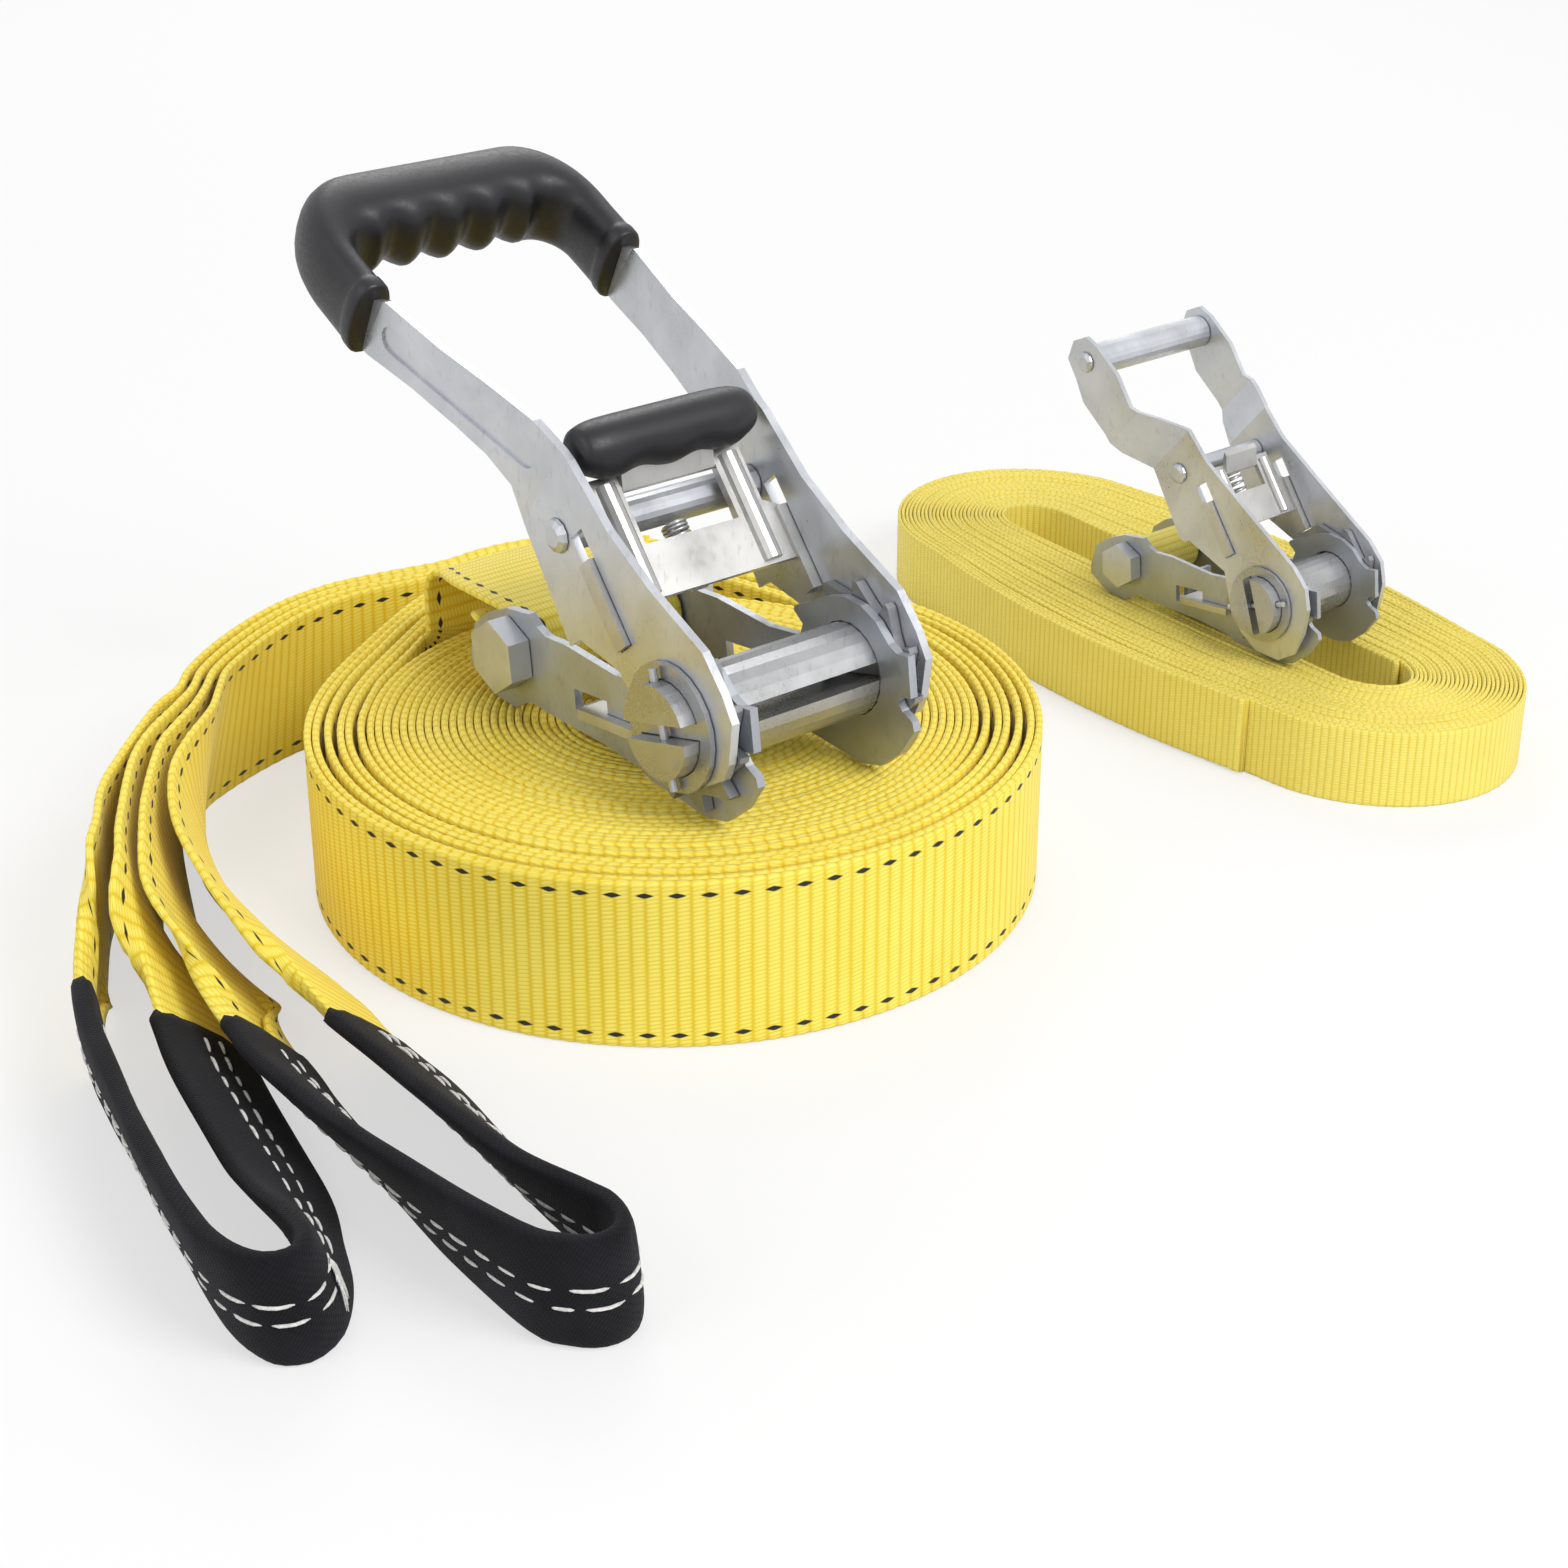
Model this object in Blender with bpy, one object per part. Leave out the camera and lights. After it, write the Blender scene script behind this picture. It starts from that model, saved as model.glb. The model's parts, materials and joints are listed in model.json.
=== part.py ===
"""Slackline set: a wound main line with its long-lever ratchet, and a teaching line with a small ratchet.

Lengths are metres. The origin is on the floor under the middle of the main line's coil, +Z is up,
and the set is seen from -Y in its usual view.
"""

import math

import bmesh
import bpy
import numpy as np
from mathutils import Matrix, Vector
from mathutils.geometry import tessellate_polygon


class Sizes:
    """Clearances that several pieces share."""
    touch_gap = 0.0003
    sliding_gap = 0.0004
    wound_gap = 0.00045
    cut_overrun = 0.002
    spring_room = 0.0005


class MainLine:
    """The wide webbing: one long band wound on edge, its outer end sewn back into an eye."""
    width = 0.050
    thickness = 0.0022
    coil_radius = 0.1085
    core_radius = 0.0032
    loops = 16
    layers_in_a_loop = 2
    layer_thickness = 0.0026
    end_bearing = 50.0
    bulge = 0.0285
    bulge_from_bearing = 40.0
    bulge_to_bearing = 178.0
    eye_width = 0.0285
    eye_thickness = 0.0040
    sleeve_wall = 0.0008
    step = 0.0210
    sleeve_gap = 0.0005
    strap_play = 0.0011
    bundle_gap = 0.0006


class TeachingLine:
    """The narrow webbing, wound on edge into a long oval."""
    width = 0.025
    loops = 12
    layers_in_a_loop = 2
    layer_thickness = 0.00130
    half_length = 0.1335
    half_width = 0.0575
    end_depth = 0.0555
    end_half_width = 0.0495
    slot_half_width = 0.0105
    slot_end_depth = 0.0165
    middle = (0.1715, 0.1505)
    bearing = -54.5
    start_turn_share = 0.30


class MainRatchet:
    """Long-lever ratchet for the wide webbing. Lengths along it are measured from the spool's axis."""
    name = "main"
    place = (0.0307, -0.0497)
    bearing = 39.0
    handle_lift = 36.9
    stands_on = MainLine.width
    webbing_width = MainLine.width
    webbing_thickness = MainLine.thickness
    webbing_side_gap = 0.0005
    frame_length = 0.0853
    frame_droop = 6.17
    plate_thickness = 0.0025
    wheel_thickness = 0.0030
    arm_thickness = 0.0025
    disc_thickness = 0.0015
    shaft_radius = 0.0132
    shaft_slot = 0.0050
    shaft_overhang = 0.0050
    spool_turn = -15.0
    disc_radius = 0.0180
    wheel_radius = 0.0245
    tooth_depth = 0.0050
    teeth = 11
    pin_radius = 0.0012
    pin_overhang = 0.0035
    bolt_radius = 0.0060
    bolt_head_width = 0.0190
    bolt_head_height = 0.0070
    nut_height = 0.0090
    anchor_sleeve_radius = 0.0080
    web_thickness = 0.0020
    lock_thickness = 0.0030
    lock_level_share = -0.1114
    lock_travel = 0.0050
    lock_tail_radius = 0.0015
    spring_wire_share = 0.0053
    spring_radius_share = 0.0305
    spring_turns = 4
    handle_length = 0.1900
    arm_splay = 0.0095
    splay_from_share = 0.40
    splay_to_share = 0.775
    rivet_reach = 0.0633
    rivet_radius = 0.0031
    rivet_head_radius = 0.0050
    rivet_head_height = 0.0018
    spacer_radius = 0.0052
    pawl_thickness = 0.0025
    pawl_tilt = 13.3
    pawl_drop = 0.0060
    pawl_travel = 0.0080
    ear_height = 0.0055
    ear_overhang = 0.0018
    rib_radius = 0.0030
    finger_radius = 0.0085
    finger_half_length = 0.0290
    finger_rise = 0.0070
    pawl_reach = 0.0780
    drive_spring_turns = 6
    grip_radius = 0.0132
    grip_leg_radius = 0.0065
    grip_corner = 0.0170
    grip_wave = 0.0028
    grip_waves = 4
    grip_bar_radius = 0.0040
    rubber_grip = True


class SmallRatchet(MainRatchet):
    """The same kind of ratchet for the narrow webbing, with a plain steel grip."""
    name = "small"
    place = (TeachingLine.middle[0] + 0.0274, TeachingLine.middle[1] - 0.0508)
    bearing = 39.4
    handle_lift = 40.1
    stands_on = TeachingLine.width
    webbing_width = TeachingLine.width
    webbing_thickness = 0.0014
    frame_length = 0.0637
    frame_droop = 6.17
    plate_thickness = 0.0016
    wheel_thickness = 0.0020
    arm_thickness = 0.0016
    disc_thickness = 0.0010
    shaft_radius = 0.0092
    shaft_slot = 0.0030
    shaft_overhang = 0.0038
    spool_turn = 70.0
    disc_radius = 0.0122
    wheel_radius = 0.0178
    tooth_depth = 0.0036
    teeth = 9
    pin_radius = 0.0009
    pin_overhang = 0.0025
    bolt_radius = 0.0040
    bolt_head_width = 0.0130
    bolt_head_height = 0.0045
    nut_height = 0.0060
    anchor_sleeve_radius = 0.0056
    web_thickness = 0.0014
    lock_thickness = 0.0022
    lock_travel = 0.0035
    lock_tail_radius = 0.0011
    spring_wire_share = 0.0055
    spring_radius_share = 0.0314
    spring_turns = 4
    handle_length = 0.0973
    arm_splay = 0.0085
    splay_from_share = 0.60
    splay_to_share = 0.74
    rivet_reach = 0.0508
    rivet_radius = 0.0020
    rivet_head_radius = 0.0034
    rivet_head_height = 0.0012
    spacer_radius = 0.0034
    pawl_thickness = 0.0016
    pawl_tilt = 13.3
    pawl_drop = 0.0045
    pawl_travel = 0.0060
    ear_height = 0.0040
    ear_overhang = 0.0012
    rib_radius = 0.0018
    finger_rise = 0.0035
    pawl_reach = 0.0500
    drive_spring_turns = 7
    grip_bar_radius = 0.0052
    rubber_grip = False


WEBBING_YELLOW = (0.93, 0.62, 0.02, 1.0)
SLEEVE_BLACK = (0.015, 0.015, 0.017, 1.0)
ZINC = (0.62, 0.63, 0.65, 1.0)
DARK_ZINC = (0.42, 0.43, 0.45, 1.0)
RUBBER = (0.02, 0.02, 0.02, 1.0)

UP = Vector((0.0, 0.0, 1.0))
COIL_POINTS = 24
ROUND_SEGMENTS = 22
SMALL_ROUND_SEGMENTS = 12
TUBE_SEGMENTS = 20
TOOTH_START_DEGREES = 19.3
WELD_DISTANCE = 1e-7
HEX_SIDES = 6

# Side plate, as shares of the frame's length: Y toward the anchor bolt, Z up, round the spool's axis.
FRAME_OUTLINE_SHARES = (
    (0.188, 0.182), (0.259, 0.156), (0.265, 0.142), (0.222, 0.101), (0.240, 0.059), (0.407, 0.053),
    (0.680, 0.094), (0.787, 0.097), (0.839, 0.121), (0.878, 0.156), (1.010, 0.150), (1.136, 0.108),
    (1.222, 0.053), (1.265, -0.059), (1.267, -0.107), (1.161, -0.182), (1.018, -0.204),
    (0.945, -0.169), (0.905, -0.162), (0.830, -0.176), (0.522, -0.205), (0.299, -0.242),
    (0.257, -0.267), (0.064, -0.300), (-0.034, -0.318), (-0.136, -0.302), (-0.232, -0.237),
    (-0.308, -0.145), (-0.301, -0.113), (-0.257, -0.088), (-0.235, -0.060), (-0.257, -0.040),
    (-0.300, -0.035), (-0.297, 0.104), (-0.243, 0.102), (-0.205, 0.125), (-0.150, 0.187),
    (-0.080, 0.226), (0.0, 0.240), (0.080, 0.226), (0.140, 0.203),
)
FRAME_WEB_SHARES = (0.330, 0.740)
FRAME_WEB_FALL_SHARE = 0.050
LOCK_SLOT_TOP_SHARE = -0.050
LOCK_BAR_SHARES = (0.470, 0.586)
LOCK_TAB_SHARES = (0.700, 0.724)
LOCK_TAB_WIDTH_SHARE = 0.090
LOCK_TAB_TOP_SHARE = -0.035

# Lever arm, as shares of the lever's length: Y toward the grip, Z away from the frame.
LONG_ARM_OUTLINE_SHARES = (
    (0.126, -0.046), (0.209, -0.088), (0.219, -0.118), (0.340, -0.077), (0.398, -0.057),
    (0.445, -0.026), (0.505, -0.028), (0.575, -0.045), (0.671, -0.073), (0.765, -0.108),
    (0.8075, -0.1150), (0.940, -0.1250), (0.962, -0.1200), (0.970, -0.1020), (0.965, -0.0830),
    (0.945, -0.0680), (0.8195, -0.0432), (0.772, 0.004), (0.656, 0.037), (0.558, 0.073), (0.462, 0.105),
    (0.381, 0.113), (0.263, 0.105), (0.154, 0.117), (0.027, 0.145), (-0.036, 0.132),
    (-0.075, 0.116), (-0.106, 0.061), (-0.113, 0.032), (-0.089, -0.027), (-0.060, -0.072),
    (-0.016, -0.092), (0.032, -0.087), (0.072, -0.060), (0.090, -0.050),
)
SHORT_ARM_OUTLINE_SHARES = (
    (0.169, -0.065), (0.303, -0.114), (0.332, -0.124), (0.341, -0.146), (0.361, -0.157),
    (0.484, -0.119), (0.598, -0.084), (0.698, -0.110), (0.774, -0.103), (0.910, -0.110),
    (0.993, -0.078), (1.060, -0.060), (1.085, 0.005), (1.060, 0.060), (1.004, 0.077),
    (0.885, 0.083), (0.773, 0.056), (0.693, 0.100), (0.607, 0.137), (0.485, 0.127),
    (0.325, 0.149), (0.144, 0.176), (0.016, 0.196), (-0.064, 0.189), (-0.122, 0.147),
    (-0.171, 0.072), (-0.197, -0.010), (-0.176, -0.077), (-0.102, -0.137), (-0.020, -0.150),
    (0.080, -0.120),
)
GROOVE_SHARES = ((0.450, 0.042), (0.735, -0.042))
GROOVE_WIDTH_SHARE = 0.022
GROOVE_DEPTH_SHARE = 0.3
GRIP_CENTRE_SHARES = (0.984, -0.0900)
LEG_START_SHARES = (0.790, -0.0563)
LEG_MIDDLE_SHARES = (0.880, -0.0737)
GRIP_MOUTH_SHARE = 0.88
# The drive pawl: where its web starts and its ears end, the inset of its fold, and the lugs beside it.
PAWL_WEB_START_SHARE = 1.43
PAWL_EAR_END_SHARE = 2.05
FOLD_INSET_SHARE = 0.08
LUG_SHARES = (1.47, 1.60)


def polar(radius, degrees):
    """A plan vector from a length and a bearing."""
    angle = math.radians(degrees)
    return Vector((radius * math.cos(angle), radius * math.sin(angle), 0.0))


def rise(value, start, end):
    """0 before start, 1 after end, smooth between."""
    share = min(1.0, max(0.0, (value - start) / (end - start)))
    return share * share * (3.0 - 2.0 * share)


def material(name, colour, metal, rough):
    """A plain material for one piece."""
    made = bpy.data.materials.new(name)
    made.use_nodes = True
    shader = made.node_tree.nodes["Principled BSDF"]
    shader.inputs["Base Color"].default_value = colour
    shader.inputs["Metallic"].default_value = metal
    shader.inputs["Roughness"].default_value = rough
    made.diffuse_color = colour
    return made


def empty(name, parent=None, at=(0.0, 0.0, 0.0), tilt=0.0, turn=0.0):
    """A pivot: tilted about its own X, or turned about Z, inside its parent."""
    made = bpy.data.objects.new(name, None)
    bpy.context.scene.collection.objects.link(made)
    made.parent = parent
    made.location = at
    made.rotation_euler = (math.radians(tilt), 0.0, math.radians(turn))
    return made


def body(name, shape, colour, parent, smooth=False):
    """Turn points and faces into one closed, outward-facing object with its own material."""
    points, faces = shape
    mesh = bpy.data.meshes.new(name)
    mesh.from_pydata([tuple(point) for point in points], [], faces)
    work = bmesh.new()
    work.from_mesh(mesh)
    bmesh.ops.recalc_face_normals(work, faces=work.faces)
    work.to_mesh(mesh)
    work.free()
    made = bpy.data.objects.new(name, mesh)
    bpy.context.scene.collection.objects.link(made)
    made.parent = parent
    metal = 1.0 if colour in (ZINC, DARK_ZINC) else 0.0
    mesh.materials.append(material(name, colour, metal, 0.35 if metal else 0.75))
    if smooth:
        mesh.shade_smooth()
        edge_angle = math.radians(35.0)
        mesh.set_sharp_from_angle(angle=edge_angle)
    return made


def joined(made, others, operation):
    """Fuse pieces to a body, or cut them from it, and apply it at once."""
    for shape in others:
        tool = body("tool", shape, ZINC, made.parent)
        change = made.modifiers.new("shape", "BOOLEAN")
        change.operation = operation
        change.solver = "EXACT"
        change.object = tool
        bpy.context.view_layer.update()
        graph = bpy.context.evaluated_depsgraph_get()
        result = bpy.data.meshes.new_from_object(made.evaluated_get(graph))
        made.modifiers.remove(change)
        old = made.data
        made.data = result
        made.data.name = old.name
        for slot in range(len(made.data.materials) - 1, 0, -1):
            made.data.materials.pop(index=slot)
        old_tool = tool.data
        bpy.data.objects.remove(tool)
        bpy.data.meshes.remove(old_tool)
    return made


def circle(radius, segments, centre=(0.0, 0.0), start=0.0):
    """Points round a circle in the YZ plane."""
    turn = [start + 2.0 * math.pi * i / segments for i in range(segments)]
    return [(centre[0] + radius * math.cos(t), centre[1] + radius * math.sin(t)) for t in turn]


def half_moon(radius, flat, side, turn_degrees, segments=11):
    """A circle's part beyond a flat at one side of its middle, turned in the YZ plane."""
    lean = math.asin(flat / radius)
    angles = [lean + (math.pi - 2.0 * lean) * i / segments for i in range(segments + 1)]
    turn = math.radians(turn_degrees) + (0.0 if side > 0 else math.pi)
    return [(radius * math.cos(a + turn), radius * math.sin(a + turn)) for a in angles]


def box_loop(y0, y1, z0, z1):
    """A rectangle in the YZ plane."""
    return [(y0, z0), (y1, z0), (y1, z1), (y0, z1)]


def capsule(start, end, radius, segments=6):
    """A slot outline with round ends in the YZ plane."""
    along = math.atan2(end[1] - start[1], end[0] - start[0])
    loop = []
    for centre, base in ((end, along - math.pi / 2.0), (start, along + math.pi / 2.0)):
        for i in range(segments + 1):
            angle = base + math.pi * i / segments
            loop.append((centre[0] + radius * math.cos(angle), centre[1] + radius * math.sin(angle)))
    return loop


def prism(loops, x0, x1):
    """A plate from an outline and its holes in the YZ plane, between two X positions."""
    flat = [point for loop in loops for point in loop]
    triangles = tessellate_polygon([[Vector((y, z, 0.0)) for y, z in loop] for loop in loops])
    count = len(flat)
    points = [(x0, y, z) for y, z in flat] + [(x1, y, z) for y, z in flat]
    faces = [tuple(tri) for tri in triangles] + [tuple(count + i for i in tri[::-1]) for tri in triangles]
    first = 0
    for loop in loops:
        size = len(loop)
        for i in range(size):
            j = (i + 1) % size
            faces.append((first + i, first + j, count + first + j, count + first + i))
        first += size
    return points, faces


def plan_prism(loops, z0, z1):
    """The same from outlines in the XY plane, between two Z positions."""
    points, faces = prism(loops, z0, z1)
    return [(y, z, x) for x, y, z in points], faces


def turned(profile, segments=ROUND_SEGMENTS, start=0.0):
    """A body of revolution about X from (x, radius) points; both ends close on the axis if radius is 0."""
    points = []
    rings = []
    for x, radius in profile:
        first = len(points)
        if radius == 0.0:
            points.append((x, 0.0, 0.0))
            rings.append([first])
        else:
            points += [(x, y, z) for y, z in circle(radius, segments, start=start)]
            rings.append(list(range(first, first + segments)))
    faces = []
    closed = profile[0][1] != 0.0
    pairs = list(zip(rings, rings[1:])) + ([(rings[-1], rings[0])] if closed else [])
    for one, two in pairs:
        for i in range(segments):
            j = (i + 1) % segments
            quad = [one[i % len(one)], one[j % len(one)], two[j % len(two)], two[i % len(two)]]
            faces.append(tuple(dict.fromkeys(quad)))
    return points, faces


def moved(shape, offset):
    """Shift points and faces."""
    points, faces = shape
    return [tuple(Vector(point) + Vector(offset)) for point in points], faces


def tilted(shape, degrees):
    """Rotate points about X."""
    turn = Matrix.Rotation(math.radians(degrees), 3, "X")
    return [tuple(turn @ Vector(point)) for point in shape[0]], shape[1]


def skin(here, near, far, next_here, turned_over):
    """Two triangles between neighbouring rings; the band's two broad sides share one diagonal."""
    if turned_over:
        return [(here, near, next_here), (near, far, next_here)]
    return [(here, near, far), (here, far, next_here)]


def swept(rings):
    """Skin matching rings of points and close both ends."""
    size = len(rings[0])
    points = [point for ring in rings for point in ring]
    faces = [tuple(range(size))[::-1]]
    for k in range(len(rings) - 1):
        for i in range(size):
            j = (i + 1) % size
            here, near, far, next_here = k * size + i, k * size + j, (k + 1) * size + j, (k + 1) * size + i
            faces += skin(here, near, far, next_here, i >= size / 2)
    last = (len(rings) - 1) * size
    faces.append(tuple(last + i for i in range(size)))
    return points, faces


def band_rings(points, widths, thicknesses, ups=None):
    """Rectangular rings along a path; ups are the directions of the webbing's width."""
    rings = []
    last = len(points) - 1
    for i, point in enumerate(points):
        ahead = points[min(i + 1, last)] - points[max(i - 1, 0)]
        up = Vector(ups[i]).normalized() if ups else UP
        side = ahead.cross(up).normalized()
        half = up * (widths[i] / 2.0)
        out = side * (thicknesses[i] / 2.0)
        rings.append([point - half - out, point - half + out, point + half + out, point + half - out])
    return rings


def band(points, width, thickness, ups=None):
    """A webbing band of one width and thickness, or of a value for every point."""
    count = len(points)
    widths = width if isinstance(width, list) else [width] * count
    thicknesses = thickness if isinstance(thickness, list) else [thickness] * count
    return swept(band_rings(points, widths, thicknesses, ups))


def sleeve_tube(points, width, thickness, wall, ups, first, last):
    """An open rectangular sleeve round part of a band: outer skin, inner skin and two end faces."""
    count = len(points)
    outer = band_rings(points, [width + 2.0 * wall] * count, [thickness + 2.0 * wall] * count, ups)
    inner = band_rings(points, [width] * count, [thickness] * count, ups)
    outer = outer[first:last]
    inner = inner[first:last]
    count = len(outer)
    points = [point for ring in outer for point in ring] + [point for ring in inner for point in ring]
    faces = []
    shift = 4 * count
    for k in range(count - 1):
        for i in range(4):
            j = (i + 1) % 4
            for base, flip in ((0, 1), (shift, -1)):
                here, near = base + k * 4 + i, base + k * 4 + j
                far, next_here = near + 4, here + 4
                faces += [face[::flip] for face in skin(here, near, far, next_here, i >= 2)]
    for k in (0, count - 1):
        for i in range(4):
            j = (i + 1) % 4
            faces.append((k * 4 + i, k * 4 + j, shift + k * 4 + j, shift + k * 4 + i))
    return points, faces


def smooth_path(knots, step, room=3):
    """Points about a step apart on a smooth curve through knots whose first values are a place."""
    knots = [np.array(knot, dtype=float) for knot in knots]
    result = []
    count = len(knots)
    for i in range(count - 1):
        a, b = knots[i], knots[i + 1]
        before = knots[i - 1] if i else a * 2.0 - b
        after = knots[i + 2] if i + 2 < count else b * 2.0 - a
        pieces = max(1, int(round(np.linalg.norm((b - a)[:room]) / step)))
        for k in range(pieces):
            t = k / pieces
            tangent_a = (b - before) / 2.0
            tangent_b = (after - a) / 2.0
            result.append((2 * t ** 3 - 3 * t ** 2 + 1) * a + (t ** 3 - 2 * t ** 2 + t) * tangent_a
                          + (3 * t ** 2 - 2 * t ** 3) * b + (t ** 3 - t ** 2) * tangent_b)
    result.append(knots[-1])
    return result


# Plan points of the two eyes along their path, as shares of the coil's radius from its middle, each with
# the lean of the webbing in degrees to the right of the path and the share of its narrowing to the eye.
LINE_LOOP_SHARES = (
    (-1.351, 0.287, -14, 0), (-1.354, 0.171, -14, 0), (-1.364, 0.040, -11, 0),
    (-1.358, -0.250, 2, 0), (-1.299, -0.602, 9, 0), (-1.234, -0.761, 20, 0.08),
    (-1.178, -0.872, 34, 0.3), (-1.114, -1.014, 45, 0.75), (-1.048, -1.169, 50, 1),
    (-0.971, -1.345, 52, 1), (-0.806, -1.683, 50, 1), (-0.734, -1.853, 40, 1),
    (-0.672, -1.991, 27, 1), (-0.644, -2.108, 12, 1), (-0.668, -2.178, 0, 1),
    (-0.732, -2.196, -6, 1), (-0.812, -2.140, -10, 1), (-0.893, -2.023, -13, 1),
    (-1.049, -1.729, -14, 1), (-1.238, -1.339, -9, 1), (-1.304, -1.182, -6, 1),
    (-1.357, -0.985, -3, 0.75), (-1.388, -0.786, 0, 0.3), (-1.396, -0.655, 3, 0.05),
    (-1.425, -0.455, 4, 0), (-1.425, -0.220, 7, 0), (-1.413, 0.040, 11, 0),
    (-1.391, 0.171, 14, 0), (-1.386, 0.287, 14, 0),
)
STRAP_LOOP_SHARES = (
    (-1.281, 0.287, -14, 0), (-1.281, 0.171, -14, 0), (-1.263, 0.040, -11, 0),
    (-1.250, -0.070, -5, 0), (-1.236, -0.185, 3, 0), (-1.200, -0.340, 15, 0),
    (-1.115, -0.540, 26, 0), (-0.985, -0.720, 36, 0.1), (-0.885, -0.840, 41, 0.25),
    (-0.800, -0.935, 44, 0.5), (-0.709, -1.066, 46, 0.85), (-0.630, -1.167, 47, 1),
    (-0.538, -1.287, 46, 1), (-0.376, -1.534, 39, 1), (-0.227, -1.761, 29, 1),
    (-0.084, -1.920, 18, 1), (-0.035, -1.992, 10, 1), (-0.018, -2.079, 2, 1),
    (-0.062, -2.134, -4, 1), (-0.135, -2.135, -6, 1), (-0.223, -2.092, -8, 1),
    (-0.413, -1.887, -18, 1), (-0.610, -1.629, -31, 1), (-0.803, -1.345, -41, 1),
    (-0.882, -1.207, -43, 1), (-0.961, -1.073, -43, 0.8), (-1.045, -0.926, -40, 0.4),
    (-1.138, -0.756, -32, 0.1), (-1.200, -0.635, -20, 0), (-1.252, -0.469, -12, 0),
    (-1.297, -0.220, -4, 0), (-1.310, -0.090, 4, 0), (-1.316, 0.040, 11, 0),
    (-1.319, 0.171, 14, 0), (-1.316, 0.287, 14, 0),
)

# The four bands leaving the coil: least distance of the innermost one from the coil's middle.
BUNDLE_BEARINGS = (50.0, 117.0, 124.0, 131.0, 139.0, 147.4, 157.4, 168.0)
BUNDLE_SHARES = (0.0, 1.080, 1.138, 1.193, 1.248, 1.285, 1.301, 1.315)
# How far the bands lean in over the coil, in degrees, and how far they stand apart, by bearing.
LEAN_BEARINGS = (126.0, 166.0)
BUNDLE_LEANS = (0.0, 14.0)
SPREAD_BEARINGS = (116.0, 138.0)
SPREAD_SHARES = (0.0, 0.0095)
ARC_STEP_DEGREES = 7.5
BUNDLE_END_BEARING = 162.0
RETURN_BEARING = 95.0
# The strap from the anchor bolt: along the frame and up from the bolt, as shares of the coil's radius.
STRAP_UNDER_SHARES = ((0.0, 0.240, 0.024), (0.0, 0.200, 0.012), (0.0, 0.158, -0.010))
STRAP_OVER_SHARES = ((0.0, 0.110, 0.087), (0.008, 0.235, 0.080), (0.022, 0.360, 0.068))
# Where it drops into the gap behind the tight turns: bearing, distance and height of the bend's start,
# the bend's radius, then the bearings and distances at which it goes on, standing on edge.
STRAP_DROP_BEARING = 129.5
STRAP_DROP_SHARE = 0.8160
STRAP_DROP_TOP_SHARE = 0.668
STRAP_BEND_SHARE = 0.083
STRAP_FOLD_STEPS = 6
STRAP_ALONG_BEARINGS = (152.0, 158.0, 164.0)
STRAP_ALONG_SHARES = (0.8295, 0.8155, 0.8120)
STRAP_CHANNEL_TURNS = 1.6667
# The short strap hanging from the small ratchet's anchor sleeve into the slot of its hank, as shares of
# the sleeve's radius: sideways, along, up, then the webbing's turn in degrees.
STUB_SHARES = (
    (0.00, 1.50, -0.30, 6.0), (0.02, 1.85, -0.75, 22.0), (0.10, 1.95, -1.25, 42.0),
    (0.40, 1.95, -1.75, 62.0), (0.95, 1.92, -2.20, 78.0), (1.45, 1.88, -2.75, 88.0),
    (1.80, 1.85, -3.50, 90.0), (1.90, 1.85, -5.75, 90.0),
)


def coil_layout():
    """The coil's band thickness, its pitch and the room its strap takes."""
    line = MainLine
    thick = line.layers_in_a_loop * line.layer_thickness
    room = line.thickness + line.strap_play
    wall = line.coil_radius - thick / 2.0 - line.core_radius - 2.0 * room
    return thick, wall / line.loops, room


def coil_radius_at(turn):
    """Distance of the coiled band's middle from the coil's middle after a number of turns."""
    line = MainLine
    thick, pitch, room = coil_layout()
    last = line.loops
    eased = rise(turn, last - 2, last - 1.8) + rise(turn, last - 1, last - 0.8)
    bearing = (line.end_bearing + 360.0 * turn) % 360.0
    swell = 0.0
    if turn >= last - 2 - 0.001 and line.bulge_from_bearing < bearing < line.bulge_to_bearing:
        span = line.bulge_to_bearing - line.bulge_from_bearing
        swell = line.bulge * math.sin(math.pi * (bearing - line.bulge_from_bearing) / span) ** 4
    return line.core_radius + pitch * turn + room * eased + swell


def coil_point(turn, shift=0.0, height=None):
    """A point of the coil, with a shift outward."""
    line = MainLine
    point = polar(coil_radius_at(turn) + shift, line.end_bearing + 360.0 * turn)
    point.z = line.width / 2.0 if height is None else height
    return point


def least_gap(path, per_loop, thick):
    """The least clear distance between one loop of a plan path and the next."""
    least = 1.0
    count = len(path)
    for i in range(count):
        for j in range(i + per_loop // 2, min(count - 1, i + per_loop + per_loop // 2)):
            a, b = path[j], path[j + 1]
            along = b - a
            t = min(1.0, max(0.0, (path[i] - a).dot(along) / along.length_squared))
            least = min(least, (path[i] - a - along * t).length - thick)
    return least


def bundle_point(bearing, layer):
    """A plan point of one of the four bands outside the coil, 0 the innermost."""
    line = MainLine
    thick, pitch, room = coil_layout()
    step = line.thickness + line.bundle_gap
    step += float(np.interp(bearing, SPREAD_BEARINGS, SPREAD_SHARES)) * line.coil_radius
    turn = line.loops - 1 + (bearing - line.end_bearing) / 360.0
    hugging = coil_radius_at(turn) + (thick + line.thickness) / 2.0 + line.strap_play / 2.0
    kept = np.interp(bearing, BUNDLE_BEARINGS, BUNDLE_SHARES) * line.coil_radius
    radius = max(hugging, kept)
    return polar(radius + layer * step, bearing)


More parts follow.
